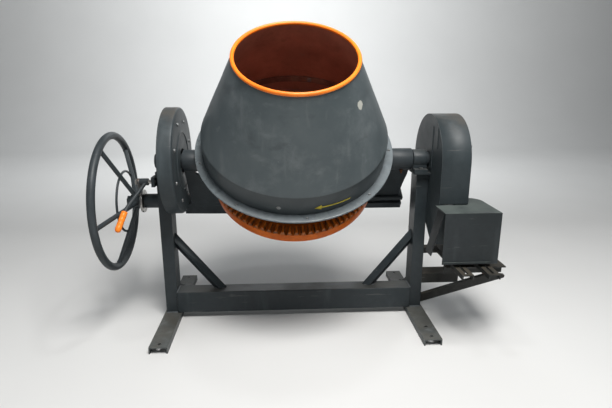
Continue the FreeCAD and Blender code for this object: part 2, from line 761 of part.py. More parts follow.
def bar_space():
    wide = 525.0
    spaces = [block((-wide, wide), (-BAR_HALF_V, BAR_HALF_V), a) for a in (UPPER_BAR_A, LOWER_BAR_A)]
    return Part.makeCompound(spaces)


def cross_bar(x, a):
    bar = block(x, (-BAR_HALF_V, BAR_HALF_V), a)
    return bar.cut(Part.makeCylinder(SPINDLE_R, 200, Vec(0, 0, LOWER_BAR_A[0] - 20)))


def spindle():
    """Fixed spindle that the drum turns on, with its collar on the yoke."""
    shaft = Part.makeCylinder(SPINDLE_R, 157, Vec(0, 0, LOWER_BAR_A[0] - 2))
    return shaft


def spindle_nut():
    nut = hex_bolt(Vec(0, 0, LOWER_BAR_A[0]), Vec(0, 0, -1), 74, 22, 5, 0)
    return nut.cut(Part.makeCylinder(SPINDLE_R, 60, Vec(0, 0, LOWER_BAR_A[0] - 30)))


def bar_spacers():
    """Short blocks that join the two cross bars."""
    a = (LOWER_BAR_A[1], UPPER_BAR_A[0])
    spacers = []
    for x in (-260, 0, 260):
        piece = block((x - 40, x + 40), (-BAR_HALF_V + 4, BAR_HALF_V - 4), a)
        spacers.append(piece.cut(Part.makeCylinder(SPINDLE_R, 200, Vec(0, 0, -320))))
    return Part.makeCompound(spacers)


def left_trunnion():
    hub = rod_x(LEFT_HUB, 0, 0, HUB_R)
    journal = rod_x((LEFT_JOURNAL_END, LEFT_HUB[0]), 0, 0, JOURNAL_R)
    return fuse_all([hub, journal])


def right_trunnion():
    hub = rod_x(RIGHT_HUB, 0, 0, HUB_R)
    journal = rod_x((RIGHT_HUB[1], RIGHT_JOURNAL_END), 0, 0, JOURNAL_R)
    body = fuse_all([hub, journal])
    return body.cut(rod_x((RIGHT_HUB[0] - 1, RIGHT_JOURNAL_END + 1), 0, 0, BUSH_R))


def shaft_bushes():
    ends = ((RIGHT_HUB[0], RIGHT_HUB[0] + 35), (RIGHT_JOURNAL_END - 35, RIGHT_JOURNAL_END))
    return Part.makeCompound([ring_x(x, 0, 0, BUSH_R, SHAFT_R + RUNNING) for x in ends])


def grease_nipple():
    """Grease point low on the front of the right-hand hub."""
    out = Vec(0, -1, -0.9).normalize()
    start = Vec(470, 0, 0) + out * HUB_R
    return fuse_all([rod(start, start + out * 7, 8), rod(start, start + out * 16, 4.5)])


# ---- belt drive ---------------------------------------------------------------------------------------

def drive_shaft():
    return rod_x((RING_R - RING_FACE - 8, BELT_X[1] + 34), 0, 0, SHAFT_R)


def shaft_nut():
    x = BELT_X[1] + 15
    nut = hex_bolt(Vec(x, 0, 0), X_AXIS, 36, 13, 5, 0)
    return nut.cut(rod_x((x - 1, x + 20), 0, 0, SHAFT_R))


def pulley(x, y, z, radius, bore, spoked):
    """A V-belt pulley with one groove."""
    middle = (x[0] + x[1]) / 2
    half = (x[1] - x[0]) / 2
    depth = BELT_T + 3
    outline = [
        (bore, -half - 8), (radius + 2, -half - 8), (radius + 2, -half - 0.4),
        (radius - depth, -half + 5), (radius - depth, half - 5),
        (radius + 2, half + 0.4), (radius + 2, half + 8), (bore, half + 8),
    ]
    wheel = revolve(outline)
    if spoked:
        web = 7
        for side in (-1, 1):
            low = web / 2 if side > 0 else -half - 9
            high = half + 9 if side > 0 else -web / 2
            cut = Part.makeCylinder(radius - depth - 8, high - low, Vec(0, 0, low))
            cut = cut.cut(Part.makeCylinder(bore + 18, high - low, Vec(0, 0, low)))
            wheel = wheel.cut(cut)
        for i in range(6):
            angle = math.pi * i / 3
            place = Vec(92 * math.cos(angle), 92 * math.sin(angle), -half)
            wheel = wheel.cut(Part.makeCylinder(26, 2 * half, place))
    wheel.Placement = FreeCAD.Placement(Vec(middle, y, z), FreeCAD.Rotation(Z_AXIS, X_AXIS))
    return wheel


def belt_outline(extra):
    """Wire of the belt's path round both pulleys, extra outside their radius, in the plane x = 0."""
    big = Vec(0, 0, TRUNNION_Z)
    small = Vec(0, MOTOR_Y, MOTOR_Z)
    way = small - big
    span = way.Length
    way.normalize()
    across = Vec(0, way.z, -way.y)
    big_r = BIG_PULLEY_R + extra
    small_r = SMALL_PULLEY_R + extra
    sine = (big_r - small_r) / span
    cosine = math.sqrt(1 - sine * sine)
    front = way * sine + across * cosine
    rear = way * sine - across * cosine
    return Part.Wire([
        Part.Arc(big + front * big_r, big - way * big_r, big + rear * big_r).toShape(),
        Part.LineSegment(big + rear * big_r, small + rear * small_r).toShape(),
        Part.Arc(small + rear * small_r, small + way * small_r, small + front * small_r).toShape(),
        Part.LineSegment(small + front * small_r, big + front * big_r).toShape(),
    ])


def v_belt():
    """The belt, a little narrower than the pulley grooves so that it stays clear of their sides."""
    width = BELT_X[1] - BELT_X[0] - 7
    outer = Part.Face(belt_outline(1.0)).extrude(Vec(width, 0, 0))
    inner = Part.Face(belt_outline(1.0 - BELT_T + 2)).extrude(Vec(width, 0, 0))
    belt = outer.cut(inner)
    belt.translate(Vec(BELT_X[0] + 3.5, 0, 0))
    return belt


def guard_outline(inset, low_inset):
    """Side outline of the belt guard, inset from its outer face."""
    radius = GUARD_R - inset
    centre = Vec(0, 0, TRUNNION_Z)
    front_low = Vec(0, -radius, 392 + low_inset)
    toe = Vec(0, -118 - inset * 0.4, 375 + low_inset)
    heel = Vec(0, 150 - inset * 0.6, 572 + low_inset * 1.1)
    back_low = Vec(0, radius, 640)
    front_top = Vec(0, -radius, TRUNNION_Z)
    back_top = Vec(0, radius, TRUNNION_Z)
    return Part.Wire([
        Part.Arc(front_top, centre + Vec(0, 0, radius), back_top).toShape(),
        Part.LineSegment(back_top, back_low).toShape(),
        Part.LineSegment(back_low, heel).toShape(),
        Part.LineSegment(heel, toe).toShape(),
        Part.LineSegment(toe, front_low).toShape(),
        Part.LineSegment(front_low, front_top).toShape(),
    ])


def guard_solid(x, inset, low_inset):
    body = Part.Face(guard_outline(inset, low_inset)).extrude(Vec(x[1] - x[0], 0, 0))
    body.translate(Vec(x[0], 0, 0))
    return body


def guard_back():
    plate = guard_solid((GUARD_X[0], GUARD_X[0] + SHEET), 0, 0)
    return plate.cut(rod_x((GUARD_X[0] - 1, GUARD_X[0] + 5), 0, TRUNNION_Z, JOURNAL_R + 4))


def guard_cover():
    """Wide round-topped guard with a narrower foot that reaches down to the motor pulley."""
    low = 300.0
    x = (GUARD_X[0] + SHEET, GUARD_X[1])
    whole = guard_solid(x, 0, 0)
    hollow = guard_solid((x[0] - 1, x[1] - SHEET), SHEET, SHEET)
    away = block((GUARD_NARROW_X, 800), (-300, 300), (low, GUARD_STEP_Z))
    away_inner = block((GUARD_NARROW_X - SHEET, 800), (-300, 300), (low, GUARD_STEP_Z + SHEET))
    cover = whole.cut(away).cut(hollow.cut(away_inner))
    shaft_way = rod_x((GUARD_NARROW_X - 10, GUARD_NARROW_X + 10), MOTOR_Y, MOTOR_Z, 16)
    return cover.cut(shaft_way)


def guard_screws():
    """Screws in the guard's right-hand face."""
    heads = []
    for angle in (25, 90, 155):
        turn = math.radians(angle)
        y = (GUARD_R - 22) * math.cos(turn)
        z = TRUNNION_Z + (GUARD_R - 22) * math.sin(turn)
        heads.append(hex_bolt(Vec(GUARD_X[1], y, z), X_AXIS, 13, 6, 3, 0))
    return Part.makeCompound(heads)


def motor_cover():
    """Sheet cover over the motor, open below and on its left, notched round the belt guard."""
    corner_r = 60.0
    box = block(COVER_BOX_X, COVER_BOX_Y, COVER_BOX_Z)
    hollow = block(
        (COVER_BOX_X[0] - 1, COVER_BOX_X[1] - SHEET),
        (COVER_BOX_Y[0] + SHEET, COVER_BOX_Y[1] - SHEET),
        (COVER_BOX_Z[0] - 1, COVER_BOX_Z[1] - SHEET),
    )
    outer_edge = [e for e in box.Edges if corner_edge(e, COVER_BOX_X[1], COVER_BOX_Y[1])]
    box = box.makeFillet(corner_r, outer_edge)
    inner_edge = [e for e in hollow.Edges if corner_edge(e, COVER_BOX_X[1] - SHEET, COVER_BOX_Y[1] - SHEET)]
    hollow = hollow.makeFillet(corner_r - SHEET, inner_edge)
    shell = box.cut(hollow)
    notch = block((500, GUARD_NARROW_X + 2), (-GUARD_R - 2, 0), (300, 600))
    lip = block((COVER_BOX_X[0] + 4, COVER_BOX_X[1] - 30), (COVER_BOX_Y[0] - 4, COVER_BOX_Y[0]), (353, 361))
    return fuse_all([shell.cut(notch), lip])


def corner_edge(edge, x, y):
    middle = edge.CenterOfMass
    return abs(middle.x - x) < 0.01 and abs(middle.y - y) < 0.01


def side_flap():
    """Slanting sheet that hangs beside the open left end of the motor cover."""
    top_x = COVER_BOX_X[0] - 1
    y = (COVER_BOX_Y[0] + 12, COVER_BOX_Y[0] + 12 + FLAP_WIDTH)
    points = [
        Vec(top_x, y[0], 556),
        Vec(top_x - 40, y[0], 384),
        Vec(top_x - 42, y[0], 384),
        Vec(top_x - 44, y[0], 385),
        Vec(top_x - 3, y[0], 560),
        Vec(top_x, y[0], 560),
    ]
    return face_of(points).extrude(Vec(0, y[1] - y[0], 0))


# ---- motor and platform -------------------------------------------------------------------------------

def motor_body():
    """Finned motor frame with its feet."""
    core = rod_x(MOTOR_X, MOTOR_Y, MOTOR_Z, MOTOR_R - 7)
    parts = [core]
    for end in (MOTOR_X[0], MOTOR_X[1] - 9):
        parts.append(rod_x((end, end + 9), MOTOR_Y, MOTOR_Z, MOTOR_R))
    fin_count = 22
    for i in range(fin_count):
        angle = 360.0 * i / fin_count
        fin = block(MOTOR_X, (MOTOR_R - 10, MOTOR_R - 1), (-1.2, 1.2))
        fin.rotate(Vec(0, 0, 0), X_AXIS, angle)
        fin.translate(Vec(0, MOTOR_Y, MOTOR_Z))
        parts.append(fin)
    foot_low = RAIL_Z[1] + PLATE
    for x in ((MOTOR_X[0] + 4, MOTOR_X[0] + 32), (MOTOR_X[1] - 32, MOTOR_X[1] - 4)):
        parts.append(block(x, (MOTOR_Y - 68, MOTOR_Y + 68), (foot_low, foot_low + 9)))
        parts.append(block(x, (MOTOR_Y - 42, MOTOR_Y + 42), (foot_low, MOTOR_Z - 30)))
    body = fuse_all(parts)
    return body.cut(rod_x((MOTOR_X[0] - 1, MOTOR_X[1] + 1), MOTOR_Y, MOTOR_Z, 10))


def motor_terminals():
    """Terminal box on top of the motor."""
    x = (MOTOR_X[0] + 28, MOTOR_X[0] + 88)
    return block(x, (MOTOR_Y - 30, MOTOR_Y + 30), (MOTOR_Z + MOTOR_R, MOTOR_Z + MOTOR_R + 38))


def fan_cowl():
    x = (MOTOR_X[1], MOTOR_X[1] + COWL_LENGTH)
    shell = rod_x(x, MOTOR_Y, MOTOR_Z, MOTOR_R - 2)
    return shell.cut(rod_x((x[0] - 1, x[1] - 2), MOTOR_Y, MOTOR_Z, MOTOR_R - 4))


def motor_shaft():
    return rod_x((BELT_X[0] - 8, MOTOR_X[1] + COWL_LENGTH - 5), MOTOR_Y, MOTOR_Z, 9.95)


def cooling_fan():
    x = (MOTOR_X[1] + 4, MOTOR_X[1] + COWL_LENGTH - 5)
    parts = [ring_x(x, MOTOR_Y, MOTOR_Z, 18, 9.95)]
    for i in range(7):
        blade = block(x, (16, 48), (-1.5, 1.5))
        blade.rotate(Vec(0, 0, 0), X_AXIS, 360.0 * i / 7)
        blade.translate(Vec(0, MOTOR_Y, MOTOR_Z))
        parts.append(blade)
    return fuse_all(parts)


def slide_plate():
    """Plate that carries the motor and slides on the two rails to tighten the belt."""
    x = (RAIL_X[0] - RAIL_W / 2, COVER_BOX_X[1] - SHEET - 3)
    plate = block(x, (MOTOR_Y - 75, MOTOR_Y + 72), (RAIL_Z[1], RAIL_Z[1] + PLATE))
    return plate


def slide_bolts():
    bolts = []
    for x in (MOTOR_X[0] + 18, MOTOR_X[1] - 18):
        for y in (MOTOR_Y - 56, MOTOR_Y + 56):
            bolts.append(hex_bolt(Vec(x, y, RAIL_Z[1] + PLATE + 9), Z_AXIS, 14, 7, 4, 0))
    return Part.makeCompound(bolts)


def motor_rail(x):
    """Channel rail with a long adjusting slot at its front."""
    half = RAIL_W / 2
    rail = block((x - half, x + half), RAIL_Y, RAIL_Z)
    rail = rail.cut(block((x - half + 5, x + half - 5), RAIL_Y, (RAIL_Z[0], RAIL_Z[1] - 5)))
    slot_y = (RAIL_Y[0] + 16, RAIL_Y[0] + 90)
    slot = block((x - 5, x + 5), slot_y, (RAIL_Z[0], RAIL_Z[1] + 1))
    return rail.cut(slot)


def platform_frame():
    """Welded angle frame under the rails: front, rear and right-hand members."""
    z = (RAIL_Z[0] - 40, RAIL_Z[0])
    front = block((612, FRAME_RIGHT), (-272, -232), z)
    front = front.cut(block((600, FRAME_RIGHT), (-272, -237), (0, z[1] - 5)))
    rear = block((POST_OUT, FRAME_RIGHT), (-30, 10), z)
    rear = rear.cut(block((POST_OUT, FRAME_RIGHT), (-30, 5), (0, z[1] - 5)))
    side_y = (-232, -30)
    side = block((FRAME_RIGHT - 40, FRAME_RIGHT), side_y, z)
    side = side.cut(block((FRAME_RIGHT - 40, FRAME_RIGHT - 5), side_y, (0, z[1] - 5)))
    return fuse_all([front, rear, side])


def platform_arm():
    """Channel that reaches out from the right-hand upright, and the post on its end."""
    arm = block((POST_OUT, 760), (-32, 50), (145, 190))
    arm = arm.cut(block((POST_OUT, 760), (-27, 50), (150, 185)))
    post = block((700, 740), (-20, 5), (190, RAIL_Z[0] - 40))
    return fuse_all([arm, post])


def platform_strut():
    """Flat bar from the foot of the right-hand upright to the front corner of the platform frame."""
    start = Vec(POST_OUT - 30, 0, 46)
    end = Vec(842, -250, RAIL_Z[0] - 42)
    run = (end - start).normalize()
    across = Vec(-run.z, 0, run.x).normalize()
    deep = run.cross(across)
    half = 20.0
    begin = start - run * 40
    corners = ((-half, -8), (half, -8), (half, 8), (-half, 8))
    points = [begin + across * u + deep * w for u, w in corners]
    bar = face_of(points).extrude(run * ((end - start).Length + 80))
    keep = block((POST_OUT, FRAME_RIGHT), (-400, 100), (FOOT_H, RAIL_Z[0] - 40))
    keep = keep.fuse(block((POST_OUT, FRAME_RIGHT), (-237, -60), (FOOT_H, RAIL_Z[0] - 5)))
    bar = bar.common(keep)
    return max(bar.cut(platform_frame()).Solids, key=lambda s: s.Volume)


def switch_housing():
    x = (COVER_BOX_X[1], COVER_BOX_X[1] + 26)
    return block(x, (-232, -168), (420, 510))


def switch_knob():
    x = COVER_BOX_X[1] + 26 + GAP
    disc = Part.makeCylinder(19, 8, Vec(x, -200, 465), X_AXIS)
    bar = block((x + 8, x + 20), (-206, -194), (447, 483))
    return fuse_all([disc, bar])


def cable_gland():
    """Screwed cable entry in the bottom of the switch housing."""
    x = COVER_BOX_X[1] + 13
    nut = hex_bolt(Vec(x, -200, 420), Vec(0, 0, -1), 20, 8, 4, 0)
    dome = Part.makeCone(8.5, 6, 12, Vec(x, -200, 412), Vec(0, 0, -1))
    return nut.fuse(dome).cut(Part.makeCylinder(4, 30, Vec(x, -200, 395)))


def both_sides(make):
    """The left-hand and right-hand copies of a frame piece, as separate solids of one node."""
    return Part.makeCompound([make(-1), make(1)])


def frame_fasteners():
    """Bolts and screws of the ground frame, the two casings and the motor's slide plate."""
    groups = [bearing_bolts(-1), bearing_bolts(1), tilt_cover_screws(), guard_screws(), slide_bolts()]
    return Part.makeCompound(groups)


def belt_side_nodes():
    return {
        "v_belt": v_belt(),
        "belt_guard_back": guard_back(),
        "belt_guard": guard_cover(),
        "motor_cover": motor_cover(),
        "side_flap": side_flap(),
        "motor_body": Part.makeCompound([motor_body(), fan_cowl()]),
        "motor_terminal_box": motor_terminals(),
        "motor_shaft": motor_shaft(),
        "motor_pulley": pulley(BELT_X, MOTOR_Y, MOTOR_Z, SMALL_PULLEY_R, 9.95, False),
        "cooling_fan": cooling_fan(),
        "slide_plate": slide_plate(),
        "motor_rails": Part.makeCompound([motor_rail(x) for x in RAIL_X]),
        "motor_platform": Part.makeCompound([platform_frame(), platform_arm(), platform_strut()]),
        "switch_housing": switch_housing(),
        "switch_knob": switch_knob(),
        "cable_gland": cable_gland(),
    }


def frame_nodes():
    return {
        "left_foot_channel": foot_channel(-1),
        "right_foot_channel": foot_channel(1),
        "main_beam": main_beam(),
        "left_upright": upright(-1),
        "right_upright": upright(1),
        "upright_gussets": both_sides(gusset),
        "beam_braces": both_sides(brace),
        "head_plates": both_sides(head_plate),
        "bearing_blocks": both_sides(bearing_block),
        "frame_fasteners": frame_fasteners(),
    }


def tilting_nodes():
    return {
        "tilt_cover_back": tilt_cover_back(),
        "tilt_cover": tilt_cover(),
        "handwheel_bearing_tube": wheel_tube(),
        "handwheel_shaft": wheel_shaft(),
        "handwheel_rim": wheel_rim(),
        "handwheel_hub": Part.makeCompound([wheel_hub(), wheel_nut()]),
        "handwheel_spokes": wheel_spokes(),
        "tilt_pinion": tilt_pinion(),
        "brake_disc": brake_disc(),
        "lever_bracket": lever_bracket(),
        "lever_pin": lever_pin(),
        "lever_rod": lever_rod(),
        "lever_grip": lever_grip(),
        "brake_shoe": brake_shoe(),
    }


def drum_nodes():
    """Nodes of the drum, in the drum's own axes."""
    return {
        "drum_upper": drum_upper(),
        "mouth_rim": rim_torus(),
        "drum_lower": drum_lower(),
        "waist_flange": waist_flange(),
        "drum_bolts": Part.makeCompound([flange_bolts(), hub_bolts()]),
        "ring_gear": ring_gear(),
        "mixing_blades": mixing_blades(),
        "drum_hub": Part.makeCompound([drum_hub(), hub_cap()]),
    }


def yoke_nodes():
    """Nodes of the tilting yoke and of the drive shaft that it carries, in the drum's own axes."""
    bars = [cross_bar(UPPER_BAR_X, UPPER_BAR_A), cross_bar(LOWER_BAR_X, LOWER_BAR_A), bar_spacers()]
    return {
        "left_arm": left_arm(),
        "right_arm": right_arm(),
        "cross_bars": Part.makeCompound(bars),
        "drum_spindle": Part.makeCompound([spindle(), spindle_nut()]),
        "left_trunnion": left_trunnion(),
        "right_trunnion": right_trunnion(),
        "shaft_bushes": shaft_bushes(),
        "grease_nipple": grease_nipple(),
        "drive_shaft": Part.makeCompound([drive_shaft(), shaft_nut()]),
        "drive_pinion": drum_pinion(),
        "drive_pulley": pulley(BELT_X, 0, 0, BIG_PULLEY_R, SHAFT_R, True),
    }


def main():
    os.makedirs("parts", exist_ok=True)
    nodes = {**frame_nodes(), **tilting_nodes(), **belt_side_nodes(), "tilt_gear": tilt_gear()}
    for name, shape in {**drum_nodes(), **yoke_nodes()}.items():
        nodes[name] = drum_place(shape)
    for name, shape in nodes.items():
        save(name, shape)
    print(len(nodes), "nodes, shifted by", ROW_SHIFT)


main()
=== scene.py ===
import json
import math
import random

import bmesh
import bpy
from mathutils import Matrix, Vector, noise


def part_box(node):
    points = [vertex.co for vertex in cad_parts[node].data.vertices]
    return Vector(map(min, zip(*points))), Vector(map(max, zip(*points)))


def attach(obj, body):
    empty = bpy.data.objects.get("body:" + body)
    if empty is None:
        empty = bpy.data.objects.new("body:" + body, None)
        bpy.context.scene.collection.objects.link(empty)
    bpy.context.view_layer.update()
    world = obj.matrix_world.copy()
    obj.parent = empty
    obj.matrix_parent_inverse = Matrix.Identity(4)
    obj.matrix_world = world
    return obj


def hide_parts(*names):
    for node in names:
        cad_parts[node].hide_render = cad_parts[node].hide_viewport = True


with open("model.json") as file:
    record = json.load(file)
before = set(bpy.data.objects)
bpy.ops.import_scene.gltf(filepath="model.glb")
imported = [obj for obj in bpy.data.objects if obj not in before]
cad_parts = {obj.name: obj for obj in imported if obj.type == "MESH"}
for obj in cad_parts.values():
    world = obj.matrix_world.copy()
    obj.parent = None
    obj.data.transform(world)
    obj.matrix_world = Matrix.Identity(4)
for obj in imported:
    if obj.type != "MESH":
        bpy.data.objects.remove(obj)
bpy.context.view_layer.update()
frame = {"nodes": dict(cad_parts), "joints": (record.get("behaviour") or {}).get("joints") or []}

# The concrete mixer's looks, in metres, in the frame's own axes: X to the right along the trunnions, Y away
# from the front, Z up. The drum's pieces are made in the drum's axes (x, v, a), with a along its spindle.

random.seed(7)
MM = 0.001
SHEET = 2.5 * MM                                # guard and cover sheet
# Angles on the drum are in degrees about its spindle, from the right-hand side towards the back.
RIM_LAP = 1.5 * MM                              # how far the cone's end reaches into the mouth rim
SEAM_TURN = 115.0
HOOP_DROPS = (34 * MM, 6 * MM)                  # lower and upper edge of the inner hoop, below the bend
HOOP_THICKNESS = 5 * MM
HOOP_BITE = 0.6 * MM                            # how far the hoop sinks into the wall
SHELL_BOLTS = 4
SHELL_BOLT_FIRST = -100.5
HOOP_BOLTS = 6
HOOP_BOLT_FIRST = 18
DISH_BEND = (3 * MM, 31 * MM)                   # control point of the pot's dished corner: inwards, upwards
ARROW_TURNS = (-58.5, -79.0)                    # tail and head
ARROW_RISES = (0.3, 0.33)                       # tail and head, as parts of the cylinder's height
CHIP = (-35.5, 0.271, 0.415)                    # angle, radius and height of the bare chip on the cone
CASING_BEAD = (118 * MM, 120 * MM, 126 * MM, 128 * MM)
CASING_HUB_R = 53 * MM
SPOKE_TURNS = (46.0, 118.0, 190.0, 262.0, 334.0)
SPOKE_R = 9.5 * MM
WHEEL_HUB_R = 29 * MM
WHEEL_NUT = 16 * MM                             # length of the nut on the end of the handwheel's hub
INNER_RING_R = 130 * MM
INNER_RING_TUBE_R = 5 * MM
LEVER_KNEE = Vector((-60, -95, -95)) * MM       # from the lever's pin
LEVER_TIP = Vector((-20, -51, -68)) * MM        # from the knee
LEVER_BAR_R = 7.8 * MM
GRIP_R = 12.6 * MM
GRIP_START = 9 * MM                             # along the bar from the knee
GUARD_FOOT_DEPTH = 59.5 * MM
GUARD_STEP_DROP = 162 * MM                      # below the trunnion line
BRACE_FOOT_X = 345 * MM                         # from the middle of the main beam
JOINTS = {joint["name"]: joint for joint in frame["joints"]}
TRUNNION = Vector(JOINTS["drum_tilt"]["pos_m"])
X = Vector((1, 0, 0))
SPIN = Vector(JOINTS["drum_spin"]["axis"]).normalized()
ACROSS = SPIN.cross(X)
DRUM = Matrix.Translation(TRUNNION) @ Matrix((X, ACROSS, SPIN)).transposed().to_4x4()
WHEEL = Vector(JOINTS["handwheel_turn"]["pos_m"])
LEVER = Vector(JOINTS["lock_lever_swing"]["pos_m"])


# ---- measures taken from the frame --------------------------------------------------------------------

def drum_points(node):
    """A CAD node's corners as (radius, a) pairs about the drum's spindle."""
    to_drum = DRUM.inverted()
    pairs = []
    for vertex in frame["nodes"][node].data.vertices:
        place = to_drum @ vertex.co
        pairs.append((math.hypot(place.x, place.y), place.z))
    return pairs


def drum_span(node):
    """Smallest and largest radius and a of a CAD node about the drum's spindle."""
    pairs = drum_points(node)
    radii = [radius for radius, _ in pairs]
    heights = [height for _, height in pairs]
    return min(radii), max(radii), min(heights), max(heights)


def x_span(node):
    """Left and right end of a CAD node."""
    low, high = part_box(node)
    return low[0], high[0]


def drum_spot(turn, radius, height):
    """A point in the drum's axes, from its angle about the spindle, radius and height."""
    angle = math.radians(turn)
    return Vector((radius * math.cos(angle), radius * math.sin(angle), height))


def drum_bend():
    """Height of the bend between the drum's cylinder and its cone."""
    pairs = drum_points("drum_upper")
    widest = max(radius for radius, _ in pairs)
    return max(height for radius, height in pairs if radius > widest - 0.1 * MM)


DRUM_BEND = drum_bend()


# ---- mesh helpers -------------------------------------------------------------------------------------

def make_object(name, mesh, material, sharp=35.0):
    """A smooth-shaded object with one material; edges past the sharp angle stay crisp."""
    mesh.validate()
    mesh.polygons.foreach_set("use_smooth", [True] * len(mesh.polygons))
    mesh.set_sharp_from_angle(angle=math.radians(sharp))
    piece = bpy.data.objects.new(name, mesh)
    bpy.context.scene.collection.objects.link(piece)
    piece.data.materials.append(material)
    return piece


def mesh_of(name, corners, faces):
    """A mesh from its corners and faces."""
    mesh = bpy.data.meshes.new(name)
    mesh.from_pydata([tuple(corner) for corner in corners], [], faces)
    return mesh


def rounded(points, radius, steps=5, closed=True):
    """The same outline with each corner replaced by a short curve of about that radius."""
    out = []
    count = len(points)
    for i, point in enumerate(points):
        here = Vector(point)
        if not closed and i in (0, count - 1):
            out.append(here)
            continue
        before = Vector(points[i - 1]) - here
        after = Vector(points[(i + 1) % count]) - here
        size = radius[i] if isinstance(radius, (list, tuple)) else radius
        reach = min(size, before.length * 0.45, after.length * 0.45)
        start = here + before.normalized() * reach
        end = here + after.normalized() * reach
        for step in range(steps + 1):
            t = step / steps
            out.append(start * (1 - t) ** 2 + here * 2 * t * (1 - t) + end * t * t)
    return out


def lathe(name, outline, material, place, segments=160, wobble=0.0, sharp=35.0):
    """A closed outline of (radius, height) pairs turned about the local Z axis, then put in place."""
    count = len(outline)
    corners = []
    for i in range(segments):
        turn = 2 * math.pi * i / segments
        out = Vector((math.cos(turn), math.sin(turn), 0))
        for radius, height in outline:
            spot = out * radius + Vector((0, 0, height))
            if wobble:
                spot += out * wobble * noise.noise(spot * 9.0)
            corners.append(place @ spot)
    faces = []
    for i in range(segments):
        j = (i + 1) % segments
        for k in range(count):
            n = (k + 1) % count
            faces.append((i * count + k, j * count + k, j * count + n, i * count + n))
    return make_object(name, mesh_of(name, corners, faces), material, sharp)


def along_x(x, y, z):
    """Placement that turns local Z to +X, at a point."""
    return Matrix.Translation((x, y, z)) @ Matrix(((0, 0, 1), (0, 1, 0), (-1, 0, 0))).to_4x4()


def point_along(place, direction):
    """Placement whose local Z points along a direction, at a point."""
    turn = Vector(direction).to_track_quat("Z", "Y").to_matrix().to_4x4()
    return Matrix.Translation(place) @ turn


def solid_lathe(name, outline, material, place, segments=48, sharp=35.0):
    """An open outline of (radius, height) pairs, both ends on the axis, turned into a closed solid."""
    start = outline[0]
    end = outline[-1]
    ring = outline[1:-1]
    corners = [place @ Vector((0, 0, start[1])), place @ Vector((0, 0, end[1]))]
    for i in range(segments):
        turn = 2 * math.pi * i / segments
        for radius, height in ring:
            corners.append(place @ Vector((radius * math.cos(turn), radius * math.sin(turn), height)))
    faces = []
    count = len(ring)
    for i in range(segments):
        here = 2 + i * count
        there = 2 + ((i + 1) % segments) * count
        faces.append((0, there, here))
        faces.append((1, here + count - 1, there + count - 1))
        for k in range(count - 1):
            faces.append((here + k, there + k, there + k + 1, here + k + 1))
    return make_object(name, mesh_of(name, corners, faces), material, sharp)


def sweep(name, path, radius_at, material, sides=20, closed=False, sharp=50.0):
    """A round bar along a path. radius_at(t) gives its radius from t 0 at the start to 1 at the end."""
    count = len(path)
    corners = []
    side = None
    for i, point in enumerate(path):
        after = path[(i + 1) % count] if closed or i + 1 < count else path[i]
        before = path[i - 1] if closed or i > 0 else path[i]
        way = (after - before).normalized()
        if side is None:
            side = way.orthogonal().normalized()
        side = (side - way * side.dot(way)).normalized()
        up = way.cross(side)
        radius = radius_at(i / (count - 1))
        for k in range(sides):
            turn = 2 * math.pi * k / sides
            corners.append(point + (side * math.cos(turn) + up * math.sin(turn)) * radius)
    faces = []
    rings = count if closed else count - 1
    for i in range(rings):
        j = (i + 1) % count
        for k in range(sides):
            n = (k + 1) % sides
            faces.append((i * sides + k, i * sides + n, j * sides + n, j * sides + k))
    if not closed:
        faces.append(tuple(reversed(range(sides))))
        faces.append(tuple((count - 1) * sides + k for k in range(sides)))
    return make_object(name, mesh_of(name, corners, faces), material, sharp)


def circle_x(x, y, z, radius, count):
    """Points round a circle that faces along X."""
    turns = [2 * math.pi * i / count for i in range(count)]
    return [Vector((x, y + radius * math.cos(turn), z + radius * math.sin(turn))) for turn in turns]


def join(name, pieces):
    """Several pieces made into one object."""
    keep = pieces[0]
    with bpy.context.temp_override(active_object=keep, selected_editable_objects=pieces):
        bpy.ops.object.join()
    keep.name = name
    keep.data.name = name
    return keep


def weld_bead(name, start, end, body, material, radius=3.5 * MM):
    """A ripple-faced line of weld between two points."""
    run = end - start
    steps = max(8, int(run.length / (2.2 * MM)))
    path = []
    for i in range(steps + 1):
        jitter = Vector((random.uniform(-1, 1), random.uniform(-1, 1), random.uniform(-1, 1))) * 0.35 * MM
        path.append(start + run * (i / steps) + jitter)

    def bead_radius(t):
        edge = min(1.0, t * 12 + 0.35, (1 - t) * 12 + 0.35)
        return radius * edge * (1 + 0.13 * math.sin(t * steps * 1.9))

    bead = sweep(name, path, bead_radius, material, sides=8)
    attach(bead, body)
    return bead


# ---- material helpers ---------------------------------------------------------------------------------

